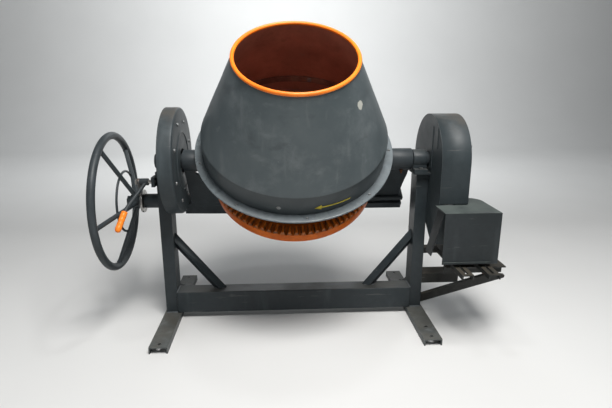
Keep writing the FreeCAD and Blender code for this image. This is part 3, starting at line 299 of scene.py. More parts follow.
class Paint:
    """Builds one node material step by step. Colours are linear RGB."""

    def __init__(self, name):
        self.material = bpy.data.materials.new(name)
        self.material.use_nodes = True
        self.tree = self.material.node_tree
        self.shader = self.tree.nodes["Principled BSDF"]
        self.coordinates = self.add("ShaderNodeTexCoord")
        self.place = self.coordinates.outputs["Object"]
        self.normal = self.coordinates.outputs["Normal"]

    def add(self, kind, **values):
        node = self.tree.nodes.new(kind)
        for key, value in values.items():
            setattr(node, key, value)
        return node

    def link(self, output, node_input):
        self.tree.links.new(output, node_input)

    def noise(self, scale, detail=4.0, rough=0.55, stretch=None):
        source = self.place
        if stretch:
            mapping = self.add("ShaderNodeMapping")
            mapping.inputs["Scale"].default_value = stretch
            self.link(source, mapping.inputs["Vector"])
            source = mapping.outputs["Vector"]
        node = self.add("ShaderNodeTexNoise")
        node.inputs["Scale"].default_value = scale
        node.inputs["Detail"].default_value = detail
        node.inputs["Roughness"].default_value = rough
        self.link(source, node.inputs["Vector"])
        return node.outputs["Fac"]

    def ramp(self, source, low, high):
        """Maps low..high to 0..1, clamped and smooth."""
        node = self.add("ShaderNodeMapRange", interpolation_type="SMOOTHSTEP")
        node.inputs["From Min"].default_value = low
        node.inputs["From Max"].default_value = high
        self.link(source, node.inputs["Value"])
        return node.outputs["Result"]

    def math(self, operation, a, b=None):
        node = self.add("ShaderNodeMath", operation=operation)
        for value, socket in ((a, node.inputs[0]), (b, node.inputs[1])):
            if value is None:
                continue
            if isinstance(value, (int, float)):
                socket.default_value = value
            else:
                self.link(value, socket)
        return node.outputs[0]

    def mix(self, amount, a, b):
        node = self.add("ShaderNodeMix", data_type="RGBA")
        self.link(amount, node.inputs["Factor"])
        for value, socket in ((a, node.inputs[6]), (b, node.inputs[7])):
            if isinstance(value, (tuple, list)):
                socket.default_value = (*value, 1.0)
            else:
                self.link(value, socket)
        return node.outputs[2]

    def edges(self, radius, low=0.75, high=0.97):
        """1 on edges sharper than the radius, 0 on flat surfaces."""
        bevel = self.add("ShaderNodeBevel", samples=4)
        bevel.inputs["Radius"].default_value = radius
        geometry = self.add("ShaderNodeNewGeometry")
        dot = self.add("ShaderNodeVectorMath", operation="DOT_PRODUCT")
        self.link(bevel.outputs["Normal"], dot.inputs[0])
        self.link(geometry.outputs["Normal"], dot.inputs[1])
        flat = self.ramp(dot.outputs["Value"], low, high)
        return self.math("SUBTRACT", 1.0, flat)

    def facing_up(self, low=0.55, high=0.95):
        parts = self.add("ShaderNodeSeparateXYZ")
        self.link(self.normal, parts.inputs["Vector"])
        return self.ramp(parts.outputs["Z"], low, high)

    def along_spindle(self):
        """Height of the shaded point along the drum's spindle, from the trunnion line."""
        centre = self.add("ShaderNodeVectorMath", operation="SUBTRACT")
        self.link(self.place, centre.inputs[0])
        centre.inputs[1].default_value = TRUNNION
        height = self.add("ShaderNodeVectorMath", operation="DOT_PRODUCT")
        self.link(centre.outputs["Vector"], height.inputs[0])
        height.inputs[1].default_value = SPIN
        return height.outputs["Value"]

    def bump(self, height, strength, distance):
        node = self.add("ShaderNodeBump")
        node.inputs["Strength"].default_value = strength
        node.inputs["Distance"].default_value = distance
        self.link(height, node.inputs["Height"])
        self.link(node.outputs["Normal"], self.shader.inputs["Normal"])

    def finish(self, colour, roughness, metallic=None):
        self.link(colour, self.shader.inputs["Base Color"])
        if isinstance(roughness, (int, float)):
            self.shader.inputs["Roughness"].default_value = roughness
        else:
            self.link(roughness, self.shader.inputs["Roughness"])
        if metallic is not None:
            if isinstance(metallic, (int, float)):
                self.shader.inputs["Metallic"].default_value = metallic
            else:
                self.link(metallic, self.shader.inputs["Metallic"])
        return self.material


def worn_paint(name, colour, pale, dust=0.0, dust_colour=(0.16, 0.12, 0.085), wear=0.5, rough=0.42,
               rust=0.25, scuff=0.35, spec=0.3):
    """Satin paint with mottling, scuffs, chips down to primer, rusty spots, worn edges and settled dust."""
    p = Paint(name)
    mottle = p.ramp(p.noise(3.2, 6.0, 0.6), 0.3, 0.72)
    base = p.mix(mottle, colour, pale)
    fine = p.ramp(p.noise(38.0, 5.0, 0.65), 0.35, 0.7)
    base = p.mix(p.math("MULTIPLY", fine, 0.35), base, tuple(c * 0.72 for c in colour))
    streak = p.ramp(p.noise(14.0, 4.0, 0.6, (1.0, 1.0, 0.16)), 0.52, 0.78)
    base = p.mix(p.math("MULTIPLY", streak, scuff), base, tuple(min(1.0, c * 1.9 + 0.02) for c in pale))
    scratch = p.ramp(p.noise(30.0, 3.0, 0.5, (0.25, 3.0, 3.0)), 0.66, 0.72)
    base = p.mix(p.math("MULTIPLY", scratch, scuff * 0.7), base, (0.16, 0.16, 0.155))
    spots = p.ramp(p.noise(21.0, 8.0, 0.72), 0.665, 0.71)
    rusty = p.math("MULTIPLY", spots, rust)
    base = p.mix(rusty, base, (0.11, 0.045, 0.022))
    worn = p.math("MULTIPLY", p.edges(2.2 * MM), p.ramp(p.noise(55.0, 4.0, 0.6), 0.42, 0.6))
    worn = p.math("MULTIPLY", worn, wear)
    base = p.mix(worn, base, (0.15, 0.15, 0.14))
    rough_out = p.add("ShaderNodeMapRange")
    rough_out.inputs["To Min"].default_value = rough - 0.06
    rough_out.inputs["To Max"].default_value = rough + 0.16
    p.link(mottle, rough_out.inputs["Value"])
    roughness = rough_out.outputs["Result"]
    if dust > 0:
        settled = p.math("MULTIPLY", p.facing_up(), p.ramp(p.noise(6.0, 7.0, 0.68), 0.3, 0.62))
        settled = p.math("MULTIPLY", settled, dust)
        base = p.mix(settled, base, dust_colour)
        roughness = p.math("ADD", roughness, p.math("MULTIPLY", settled, 0.35))
    p.bump(p.noise(420.0, 2.0, 0.5), 0.12, 0.3 * MM)
    p.shader.inputs["Specular IOR Level"].default_value = spec
    return p.finish(base, roughness)


def drum_outside(name):
    """The drum's satin grey: cloudy and streaked on the cone, with painted shade darkening the cylinder below
    the cone.
    """
    p = Paint(name)
    mottle = p.ramp(p.noise(2.4, 6.0, 0.62), 0.28, 0.74)
    base = p.mix(mottle, (0.058, 0.073, 0.079), (0.088, 0.105, 0.111))
    cloudy = p.ramp(p.noise(5.5, 7.0, 0.7), 0.45, 0.75)
    base = p.mix(p.math("MULTIPLY", cloudy, 0.7), base, (0.15, 0.168, 0.175))
    rub = p.ramp(p.noise(7.0, 5.0, 0.6, (1.0, 0.4, 1.6)), 0.58, 0.72)
    base = p.mix(p.math("MULTIPLY", rub, 0.5), base, (0.042, 0.05, 0.053))
    streak = p.ramp(p.noise(16.0, 4.0, 0.55, (0.35, 1.6, 1.6)), 0.6, 0.76)
    base = p.mix(p.math("MULTIPLY", streak, 0.3), base, (0.17, 0.186, 0.192))
    runs = p.ramp(p.noise(13.0, 4.0, 0.6, (1.8, 0.35, 0.35)), 0.56, 0.74)
    base = p.mix(p.math("MULTIPLY", runs, 0.35), base, (0.15, 0.165, 0.17))
    chips = p.ramp(p.noise(27.0, 9.0, 0.75), 0.7, 0.72)
    base = p.mix(p.math("MULTIPLY", chips, 0.8), base, (0.36, 0.36, 0.33))
    chip = p.add("ShaderNodeVectorMath", operation="DISTANCE")
    p.link(p.place, chip.inputs[0])
    chip.inputs[1].default_value = DRUM @ drum_spot(*CHIP)
    reach = p.math("ADD", chip.outputs["Value"], p.math("MULTIPLY", p.noise(60.0, 5.0, 0.7), 0.02))
    base = p.mix(p.ramp(reach, 27 * MM, 24 * MM), base, (0.42, 0.42, 0.38))
    height = p.along_spindle()
    # Painted shade: the cylinder below the bend faces downward and is mixed towards near-black.
    edge = p.ramp(height, DRUM_BEND, DRUM_BEND - 3 * MM)
    base = p.mix(p.math("MULTIPLY", edge, 0.6), base, (0.016, 0.02, 0.022))
    worn = p.math("MULTIPLY", p.edges(2.0 * MM), p.ramp(p.noise(60.0, 4.0, 0.6), 0.45, 0.6))
    base = p.mix(p.math("MULTIPLY", worn, 0.45), base, (0.2, 0.2, 0.19))
    p.bump(p.noise(380.0, 2.0, 0.5), 0.1, 0.3 * MM)
    roughness = p.add("ShaderNodeMapRange")
    roughness.inputs["To Min"].default_value = 0.38
    roughness.inputs["To Max"].default_value = 0.58
    p.link(cloudy, roughness.inputs["Value"])
    p.shader.inputs["Specular IOR Level"].default_value = 0.35
    return p.finish(base, roughness.outputs["Result"])


def drum_lining(name):
    """Red-brown lining with a thin skin of dried cement in patches."""
    p = Paint(name)
    mottle = p.ramp(p.noise(4.5, 7.0, 0.65), 0.3, 0.72)
    base = p.mix(mottle, (0.33, 0.13, 0.085), (0.52, 0.21, 0.14))
    dark = p.ramp(p.noise(12.0, 6.0, 0.7), 0.5, 0.78)
    base = p.mix(p.math("MULTIPLY", dark, 0.5), base, (0.09, 0.035, 0.022))
    cement = p.ramp(p.noise(8.0, 9.0, 0.74), 0.6, 0.74)
    base = p.mix(p.math("MULTIPLY", cement, 0.35), base, (0.22, 0.17, 0.14))
    p.bump(p.noise(110.0, 6.0, 0.7), 0.35, 0.9 * MM)
    return p.finish(base, 0.62)


def orange_paint(name, dirt):
    """Bright orange gloss, with grime and worn edges."""
    p = Paint(name)
    mottle = p.ramp(p.noise(6.0, 5.0, 0.6), 0.3, 0.7)
    base = p.mix(mottle, (0.88, 0.18, 0.012), (0.94, 0.24, 0.02))
    grime = p.ramp(p.noise(24.0, 8.0, 0.72), 0.62 - 0.22 * dirt, 0.74 - 0.1 * dirt)
    base = p.mix(p.math("MULTIPLY", grime, 0.35 + 0.4 * dirt), base, (0.11, 0.05, 0.025))
    worn = p.math("MULTIPLY", p.edges(1.6 * MM), p.ramp(p.noise(70.0, 4.0, 0.6), 0.5, 0.62))
    base = p.mix(p.math("MULTIPLY", worn, 0.3), base, (0.3, 0.22, 0.16))
    p.bump(p.noise(300.0, 2.0, 0.5), 0.1, 0.3 * MM)
    p.shader.inputs["Specular IOR Level"].default_value = 0.3
    return p.finish(base, 0.36)


def gear_paint(name):
    """Orange paint on the ring gear, dark between the teeth and on their flanks: grease there, together with
    painted shade in the gaps.
    """
    p = Paint(name)
    distance = p.add("ShaderNodeVectorMath", operation="DISTANCE")
    p.link(p.place, distance.inputs[0])
    distance.inputs[1].default_value = TRUNNION
    slope = p.math("DIVIDE", p.along_spindle(), distance.outputs["Value"])
    low, high = gear_slopes()
    in_teeth = p.ramp(slope, low - 0.006, low + 0.012)
    on_tips = p.ramp(slope, high - 0.012, high - 0.004)
    mottle = p.ramp(p.noise(16.0, 6.0, 0.65), 0.32, 0.7)
    base = p.mix(mottle, (0.4, 0.075, 0.002), (0.55, 0.115, 0.004))
    # Grease and painted shade: the gaps between the teeth and the tooth flanks are mixed towards dark brown.
    grease_and_shade_colour = p.mix(p.ramp(p.noise(46.0, 5.0, 0.7), 0.35, 0.66), (0.05, 0.022, 0.012), (0.36, 0.11, 0.02))
    grease_and_shade_mask = p.math("SUBTRACT", in_teeth, p.math("MULTIPLY", on_tips, 0.75))
    base = p.mix(grease_and_shade_mask, base, grease_and_shade_colour)
    grime = p.ramp(p.noise(30.0, 8.0, 0.72), 0.58, 0.72)
    base = p.mix(p.math("MULTIPLY", grime, 0.45), base, (0.09, 0.045, 0.025))
    p.bump(p.noise(240.0, 3.0, 0.6), 0.15, 0.4 * MM)
    p.shader.inputs["Specular IOR Level"].default_value = 0.2
    return p.finish(base, 0.42)


def gear_slopes():
    """Height over distance from the pitch apex at the roots and the tips of the ring gear's teeth."""
    pairs = [(radius, height) for radius, height in drum_points("ring_gear") if height > -0.1]
    outer = max(radius for radius, _ in pairs)
    slopes = sorted({round(height / math.hypot(radius, height), 3) for radius, height in pairs
                     if radius > outer - 3 * MM})
    return slopes[0], slopes[-1]


def bare_metal(name, colour, rough, rust=0.3, scale=1.0):
    """Machined or cast metal with a brushed grain and some rust."""
    p = Paint(name)
    mottle = p.ramp(p.noise(9.0 * scale, 6.0, 0.6), 0.3, 0.7)
    base = p.mix(mottle, tuple(c * 0.75 for c in colour), colour)
    spots = p.math("MULTIPLY", p.ramp(p.noise(34.0 * scale, 8.0, 0.7), 0.52, 0.68), rust)
    base = p.mix(spots, base, (0.13, 0.05, 0.022))
    metallic = p.math("SUBTRACT", 1.0, spots)
    roughness = p.math("ADD", rough, p.math("MULTIPLY", spots, 0.4))
    p.bump(p.noise(260.0 * scale, 3.0, 0.6, (0.2, 1.0, 1.0)), 0.15, 0.3 * MM)
    return p.finish(base, roughness, metallic)


def moulded(name, colour, rough, grain=300.0):
    """Moulded plastic or rubber with a fine grain and slightly dusty patches."""
    p = Paint(name)
    mottle = p.ramp(p.noise(18.0, 6.0, 0.65), 0.3, 0.75)
    base = p.mix(mottle, colour, tuple(min(1.0, c * 1.35 + 0.012) for c in colour))
    worn = p.math("MULTIPLY", p.edges(1.5 * MM), 0.35)
    base = p.mix(worn, base, tuple(min(1.0, c * 1.8 + 0.03) for c in colour))
    p.bump(p.noise(grain, 3.0, 0.6), 0.2, 0.25 * MM)
    return p.finish(base, rough)


paint = worn_paint("grey_frame_paint", (0.021, 0.028, 0.032), (0.031, 0.038, 0.042), dust=0.4,
                   dust_colour=(0.075, 0.068, 0.056))
casing_paint = worn_paint("casing_paint", (0.027, 0.036, 0.04), (0.037, 0.047, 0.052), dust=0.3, rust=0.12)
# The side flap's near-black paint is painted shade: that strip lies in shadow.
flap_painted_shade = worn_paint("flap_painted_shade", (0.009, 0.011, 0.012), (0.014, 0.016, 0.018), rust=0.1, scuff=0.15)
cover_paint = worn_paint("cover_paint", (0.019, 0.024, 0.026), (0.027, 0.032, 0.035), dust=0.7, rust=0.12,
                         dust_colour=(0.088, 0.106, 0.098))
rail_paint = worn_paint("rail_paint", (0.016, 0.018, 0.018), (0.026, 0.026, 0.023), dust=0.7, rust=0.5,
                        dust_colour=(0.055, 0.045, 0.032), wear=0.8)
foot_paint = worn_paint("foot_paint", (0.035, 0.038, 0.038), (0.105, 0.118, 0.118), dust=0.45, rust=0.4,
                        dust_colour=(0.085, 0.073, 0.057), wear=0.8)
flange_paint = worn_paint("waist_flange_paint", (0.12, 0.14, 0.15), (0.15, 0.172, 0.184), wear=0.5,
                          rough=0.26, rust=0.1, spec=0.5)
yoke_paint = worn_paint("yoke_paint", (0.026, 0.033, 0.037), (0.038, 0.045, 0.05), wear=0.6, rust=0.35)
drum_paint = drum_outside("drum_outside_paint")
lining = drum_lining("drum_lining")
rim_paint = orange_paint("mouth_rim_paint", 0.1)
ring_paint = gear_paint("ring_gear_paint")
grip_paint = orange_paint("grip_plastic", 0.25)
steel = bare_metal("bare_steel", (0.42, 0.41, 0.39), 0.34)
iron = bare_metal("greased_iron", (0.16, 0.155, 0.15), 0.5, rust=0.5)
rusty_iron = bare_metal("rusty_iron", (0.2, 0.1, 0.06), 0.6, rust=0.9)
bolts_metal = bare_metal("fastener_steel", (0.3, 0.31, 0.31), 0.42, rust=0.4, scale=2.0)
bronze = bare_metal("bush_bronze", (0.55, 0.36, 0.16), 0.35, rust=0.15)
belt_rubber = moulded("belt_rubber", (0.02, 0.02, 0.021), 0.7)
green_paint = worn_paint("motor_green_paint", (0.022, 0.115, 0.07), (0.035, 0.15, 0.095), dust=0.35, rust=0.1)
black_plastic = moulded("switch_plastic", (0.022, 0.023, 0.026), 0.5)
arrow_paint = moulded("arrow_paint", (0.34, 0.27, 0.012), 0.6)
weld_paint = worn_paint("weld_paint", (0.08, 0.09, 0.097), (0.1, 0.112, 0.12), wear=0.2, rust=0.5)


# ---- CAD nodes that stay ------------------------------------------------------------------------------

NODE_MATERIALS = {
    paint: ["left_upright", "right_upright", "upright_gussets", "beam_braces", "head_plates",
            "bearing_blocks", "main_beam", "lever_bracket", "handwheel_bearing_tube"],
    flap_painted_shade: ["side_flap"],
    rail_paint: ["motor_platform", "motor_rails", "slide_plate"],
    foot_paint: ["left_foot_channel", "right_foot_channel"],
    casing_paint: ["tilt_cover", "tilt_cover_back", "belt_guard", "belt_guard_back"],
    cover_paint: ["motor_cover"],
    yoke_paint: ["left_arm", "right_arm", "cross_bars", "left_trunnion", "right_trunnion", "handwheel_rim",
                 "handwheel_spokes", "handwheel_hub", "lever_rod"],
    drum_paint: ["drum_upper", "drum_lower"],
    flange_paint: ["waist_flange"],
    rim_paint: ["mouth_rim"],
    ring_paint: ["ring_gear"],
    grip_paint: ["lever_grip"],
    steel: ["drive_shaft", "motor_shaft", "handwheel_shaft", "lever_pin", "drum_spindle", "mixing_blades",
            "brake_disc"],
    iron: ["tilt_gear", "tilt_pinion", "drive_pinion", "drive_pulley", "motor_pulley", "brake_shoe",
           "drum_hub"],
    bolts_metal: ["frame_fasteners", "drum_bolts"],
    belt_rubber: ["v_belt"],
    green_paint: ["motor_body", "motor_terminal_box", "cooling_fan"],
    bronze: ["shaft_bushes"],
    rusty_iron: ["grease_nipple"],
    black_plastic: ["switch_housing", "switch_knob", "cable_gland"],
}
SOFT_EDGES = {
    "main_beam": 4.0, "left_upright": 3.0, "right_upright": 3.0, "beam_braces": 1.2,
    "head_plates": 1.0, "bearing_blocks": 2.0,
    "upright_gussets": 1.0, "left_arm": 1.2, "right_arm": 1.2, "cross_bars": 1.5, "left_trunnion": 2.0,
    "right_trunnion": 2.0, "motor_cover": 0.8, "motor_platform": 1.0, "motor_rails": 1.0, "slide_plate": 1.0,
    "belt_guard_back": 0.6, "tilt_cover_back": 0.6, "brake_disc": 1.0, "brake_shoe": 1.0,
    "lever_bracket": 1.0,
    "switch_housing": 3.0, "switch_knob": 1.5, "motor_terminal_box": 3.0, "frame_fasteners": 0.6,
    "drum_bolts": 0.5, "ring_gear": 0.7, "handwheel_bearing_tube": 1.5, "side_flap": 0.6,
}


def dress_cad_nodes():
    """Gives every CAD node its material, and the edges of its plates a small bevel."""
    for material, names in NODE_MATERIALS.items():
        for name in names:
            node = frame["nodes"][name]
            for slot in node.material_slots:
                slot.material = material
    for name, width in SOFT_EDGES.items():
        node = frame["nodes"][name]
        weld = node.modifiers.new("weld", "WELD")
        weld.merge_threshold = 0.02 * MM
        bevel = node.modifiers.new("edge", "BEVEL")
        bevel.width = width * MM
        bevel.segments = 2
        bevel.limit_method = "ANGLE"
        bevel.angle_limit = math.radians(32)
        bevel.use_clamp_overlap = True
        bevel.harden_normals = True


# ---- drum ---------------------------------------------------------------------------------------------

def build_drum():
    """The drum's sheet, its mouth rim, inner hoop, waist flange and small bolts."""
    upper = drum_points("drum_upper")
    drum_r = max(radius for radius, _ in upper)
    low = min(height for _, height in upper)
    pot_r = max(radius for radius, _ in drum_points("drum_lower"))
    step = [height for radius, height in upper if abs(radius - pot_r) < 0.1 * MM]
    wall = max(step) - min(step)
    inner_r = drum_r - wall
    _, rim_out, rim_low, rim_high = drum_span("mouth_rim")
    tube = (rim_high - rim_low) / 2
    rim_r = rim_out - tube
    mouth_r = rim_r + RIM_LAP
    mouth_a = (rim_high + rim_low) / 2
    corners = (
        (drum_r, low, 0.5), (drum_r, DRUM_BEND, 4),
        (mouth_r, mouth_a, 0.5), (mouth_r - wall, mouth_a, 0.5),
        (inner_r, DRUM_BEND - 1 * MM, 8), (inner_r, max(step), 5),
        (pot_r, max(step), 0.5), (pot_r, min(step), 0.5),
        (inner_r, min(step), 1), (inner_r, low, 0.5),
    )
    curves = [curve * MM for _, _, curve in corners]
    profile = rounded([(radius, height) for radius, height, _ in corners], curves, 4)
    skin = lathe("drum_skin", fine_steps(profile, 16 * MM), drum_paint, DRUM, 192, wobble=0.7 * MM)
    paint_inside(skin, lining)
    drum_piece(skin, "drum_upper")
    hoop_low = DRUM_BEND - HOOP_DROPS[0]
    hoop_high = DRUM_BEND - HOOP_DROPS[1]
    hoop_r = inner_r + HOOP_BITE
    hoop_in = inner_r - HOOP_THICKNESS
    hoop_outline = [(hoop_r, hoop_low), (hoop_r, hoop_high), (hoop_in, hoop_high), (hoop_in, hoop_low)]
    hoop = lathe("drum_hoop", rounded(hoop_outline, 1.5 * MM), hoop_paint(), DRUM, 128)
    drum_piece(hoop)
    sides = 20
    turns = [2 * math.pi * i / sides for i in range(sides)]
    bar = [(rim_r + tube * math.cos(turn), mouth_a + tube * math.sin(turn)) for turn in turns]
    rim = lathe("mouth_rim_bar", bar, rim_paint, DRUM, 192, sharp=80)
    drum_piece(rim, "mouth_rim")
    _, flange_r, flange_low, flange_high = drum_span("waist_flange")
    root_r = drum_r - 1 * MM
    ring = [(root_r, flange_low), (flange_r, flange_low), (flange_r, flange_high), (root_r, flange_high)]
    flange = lathe("waist_ring", rounded(ring, 2.2 * MM, 4), flange_paint, DRUM, 192)
    drum_piece(flange, "waist_flange")
    seam_low = DRUM @ drum_spot(SEAM_TURN, drum_r, DRUM_BEND)
    seam_high = DRUM @ drum_spot(SEAM_TURN, mouth_r, mouth_a)
    seam = weld_bead("drum_side_seam", seam_low, seam_high, "drum", drum_paint, 2.2 * MM)
    for index in range(SHELL_BOLTS):
        turn = 360 / SHELL_BOLTS * index + SHELL_BOLT_FIRST
        dome_bolt("drum_shell_bolt_%d" % index, turn, drum_r, flange_high + 34 * MM, 6 * MM, 4 * MM,
                  "drum", bolts_metal)
    for index in range(HOOP_BOLTS):
        turn = 360 / HOOP_BOLTS * index + HOOP_BOLT_FIRST
        dome_bolt("drum_hoop_bolt_%d" % index, turn, hoop_in, hoop_low + 14 * MM, 8 * MM, -4 * MM,
                  "drum", bolts_metal)
    build_pot(wall)
    build_arrow(drum_r, flange_high, DRUM_BEND)


def drum_piece(piece, node=None):
    """Makes a piece turn with the drum, and take the place of a CAD node."""
    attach(piece, "drum")
    if node:
        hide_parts(node)


def build_pot(wall):
    """The pot below the shoulder, with its dished corner."""
    pairs = drum_points("drum_lower")
    pot_r = max(radius for radius, _ in pairs)
    hole_r = min(radius for radius, _ in pairs)
    floor_a = min(height for _, height in pairs)
    top = max(height for _, height in pairs)
    floor_r = max(radius for radius, height in pairs if height < floor_a + 0.1 * MM)
    corner_a = min(height for radius, height in pairs if radius > pot_r - 0.1 * MM)

    def dish(inset):
        start = Vector((floor_r, floor_a + inset))
        bend = Vector((pot_r - DISH_BEND[0] - inset, floor_a + DISH_BEND[1] + inset))
        end = Vector((pot_r - inset, corner_a))
        turns = [i / 12 for i in range(13)]
        return [start * (1 - t) ** 2 + bend * 2 * t * (1 - t) + end * t * t for t in turns]

    outline = [(hole_r, floor_a)] + dish(0) + [(pot_r, top), (pot_r - wall, top)]
    outline += list(reversed(dish(wall))) + [(hole_r, floor_a + wall)]
    pot = lathe("drum_pot", fine_steps(outline, 20 * MM), drum_paint, DRUM, 160, wobble=0.4 * MM)
    paint_inside(pot, lining)
    drum_piece(pot, "drum_lower")


def hoop_paint():
    """The lining's colour on the hoop, paler where it is rubbed."""
    p = Paint("hoop_paint")
    rub = p.ramp(p.noise(9.0, 6.0, 0.65), 0.35, 0.65)
    base = p.mix(rub, (0.17, 0.07, 0.045), (0.3, 0.17, 0.12))
    p.bump(p.noise(140.0, 5.0, 0.7), 0.25, 0.6 * MM)
    return p.finish(base, 0.55)


def fine_steps(outline, longest):
    """The outline with its long sides divided, so that a surface noise can show."""
    out = []
    for i, point in enumerate(outline):
        after = outline[(i + 1) % len(outline)]
        run = Vector(after) - Vector(point)
        parts = max(1, math.ceil(run.length / longest))
        out += [Vector(point) + run * k / parts for k in range(parts)]
    return out


def paint_inside(piece, material):
    """Gives the faces that look towards the drum's spindle a second material."""
    piece.data.materials.append(material)
    to_drum = DRUM.inverted()
    for face in piece.data.polygons:
        centre = to_drum @ face.center
        normal = to_drum.to_3x3() @ face.normal
        outward = Vector((centre.x, centre.y, 0)).normalized()
        if normal.dot(outward) < -0.2 or (normal.z > 0.5 and centre.z < 0.13):
            face.material_index = 1


def dome_bolt(name, turn, radius, height, size, rise, body, material):
    """A round-headed bolt with a washer on the drum's wall, pointing inwards if rise is negative."""
    place = DRUM @ drum_spot(turn, radius, height)
    out = DRUM.to_3x3() @ drum_spot(turn, 1, 0) * (1 if rise > 0 else -1)
    tall = abs(rise)
    outline = [(0, tall), (size * 0.35, tall * 0.97), (size * 0.7, tall * 0.75), (size * 0.92, tall * 0.4),
               (size * 0.95, tall * 0.28), (size * 1.35, tall * 0.26), (size * 1.4, tall * 0.05),
               (size * 1.4, -1 * MM), (0, -1 * MM)]
    bolt = solid_lathe(name, outline, material, point_along(place, out), 28, sharp=50)
    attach(bolt, body)
    return bolt


def build_arrow(radius, low, high):
    """Yellow arrow painted on the drum's cylinder, pointing the way it turns at the front."""
    tail_turn = ARROW_TURNS[0]
    head_turn = ARROW_TURNS[1]
    rises = [low + (high - low) * part for part in ARROW_RISES]
    half = 3.0 * MM
    lift = 1.0 * MM
    columns = 32
    corners = []
    faces = []
    for i in range(columns + 1):
        t = i / columns
        turn = tail_turn + (head_turn - tail_turn) * t
        height = rises[0] + (rises[1] - rises[0]) * t
        for side in (-1, 1):
            wide = half * (1 + 0.12 * math.sin(9 * t + side))
            corners.append(DRUM @ drum_spot(turn, radius + lift, height + side * wide))
    for i in range(columns):
        faces.append((2 * i, 2 * i + 2, 2 * i + 3, 2 * i + 1))
    start = len(corners)
    for turn, rise in ((head_turn + 2.4, 12 * MM), (head_turn + 2.4, -12 * MM), (head_turn - 1.6, 0.0)):
        corners.append(DRUM @ drum_spot(turn, radius + lift, rises[1] + rise))
    faces.append((start, start + 1, start + 2))
    arrow = make_object("turning_arrow", mesh_of("turning_arrow", corners, faces), arrow_paint)
    solid = arrow.modifiers.new("thickness", "SOLIDIFY")
    solid.thickness = 0.9 * MM
    solid.offset = 0
    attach(arrow, "drum")


# ---- tilting casing, handwheel and lever --------------------------------------------------------------

def build_tilt_casing():
    """The round casing of the tilting gear, with its raised bead."""
    x0, x1 = x_span("tilt_cover")
    lip = 3 * MM
    face = x1 - lip
    low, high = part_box("tilt_cover")
    radius = (high[2] - low[2]) / 2
    depth = face - x0
    bead = CASING_BEAD
    outline = [
        (radius, 0), (radius, depth),
        (bead[3], depth), (bead[2], depth + lip), (bead[1], depth + lip), (bead[0], depth),
        (CASING_HUB_R, depth), (CASING_HUB_R, depth - SHEET),
        (radius - SHEET, depth - SHEET), (radius - SHEET, 0),
    ]
    radii = [0.3, 9, 2, 1.2, 1.2, 2, 0.5, 0.5, 7, 0.3]
    place = along_x(x0, TRUNNION.y, TRUNNION.z)
    casing = lathe("tilt_casing", fine_steps(rounded(outline, [r * MM for r in radii], 5), 20 * MM),
                   casing_paint, place, 160, wobble=0.4 * MM)
    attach(casing, "frame")
    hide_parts("tilt_cover")


def build_handwheel():
    """The handwheel's rim, spokes and inner ring."""
    rim_low, rim_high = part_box("handwheel_rim")
    rim_x = (rim_low[0] + rim_high[0]) / 2
    tube = (rim_high[0] - rim_low[0]) / 2
    radius = (rim_high[2] - rim_low[2]) / 2 - tube
    rim_path = circle_x(rim_x, WHEEL.y, WHEEL.z, radius, 144)
    rim = sweep("handwheel_ring", rim_path, lambda t: tube - 0.1 * MM, yoke_paint, 24, closed=True, sharp=80)
    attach(rim, "handwheel")
    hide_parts("handwheel_rim")
    hub_low, hub_high = x_span("handwheel_hub")
    hub_x = (hub_low + WHEEL_NUT + hub_high) / 2
    slope = (rim_x - hub_x) / (radius - WHEEL_HUB_R)
    pieces = []
    for turn in SPOKE_TURNS:
        out = Vector((0, math.cos(math.radians(turn)), math.sin(math.radians(turn))))
        start = Vector((hub_x, WHEEL.y, WHEEL.z)) + out * (WHEEL_HUB_R - 2 * MM)
        end = Vector((rim_x, WHEEL.y, WHEEL.z)) + out * (radius - tube * 0.7)
        path = [start + (end - start) * (i / 40) for i in range(41)]

        def flared(t):
            near = max(0.0, 1 - min(t, 1 - t) * 14)
            return SPOKE_R * (1 + 0.28 * near * near)

        pieces.append(sweep("spoke", path, flared, yoke_paint, 18))
    ring_x = hub_x + slope * (INNER_RING_R - WHEEL_HUB_R) - SPOKE_R
    ring_path = circle_x(ring_x, WHEEL.y, WHEEL.z, INNER_RING_R, 96)
    pieces.append(sweep("inner", ring_path, lambda t: INNER_RING_TUBE_R, yoke_paint, 14, closed=True))
    spokes = join("handwheel_arms", pieces)
    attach(spokes, "handwheel")
    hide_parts("handwheel_spokes")


def build_lever():
    """The brake lever's bent bar with its collar, and its grip."""
    start = Vector((LEVER.x + 2 * MM, LEVER.y - 8 * MM, LEVER.z - 6 * MM))
    knee = LEVER + LEVER_KNEE
    tip = knee + LEVER_TIP
    path = [Vector(p) for p in smooth_path([start, knee, tip], 22)]
    rod = sweep("lever_bar", path, lambda t: LEVER_BAR_R, yoke_paint, 18)
    collar_outline = [(9 * MM, -18 * MM), (15 * MM, -18 * MM), (15 * MM, 18 * MM), (9 * MM, 18 * MM)]
    collar = lathe("collar", rounded(collar_outline, 1.5 * MM), yoke_paint,
                   along_x(LEVER.x - 2 * MM, LEVER.y, LEVER.z), 40)
    rod = join("lever_bar", [rod, collar])
    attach(rod, "lock_lever")
    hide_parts("lever_rod")
    way = (tip - knee).normalized()
    from_knee = knee + way * GRIP_START
    length = (tip - from_knee).length
    count = 60

    def grip_radius(t):
        ends = min(1.0, 0.75 + t * 9, math.sqrt(max(0.02, 1 - max(0.0, (t - 0.86) / 0.14) ** 2)))
        return GRIP_R * ends * (1 + 0.035 * math.cos(t * 2 * math.pi * 5))

    grip_path = [from_knee + way * ((length + 12.5 * MM) * i / count) for i in range(count + 1)]
    grip = sweep("lever_handle", grip_path, grip_radius, grip_paint, 24)
    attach(grip, "lock_lever")
    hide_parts("lever_grip")


def smooth_path(points, reach_mm):
    """A bent bar's centre line: straight runs with a rounded bend at each inner point."""
    return rounded(points, reach_mm * MM, 8, closed=False)


# ---- belt guard ---------------------------------------------------------------------------------------

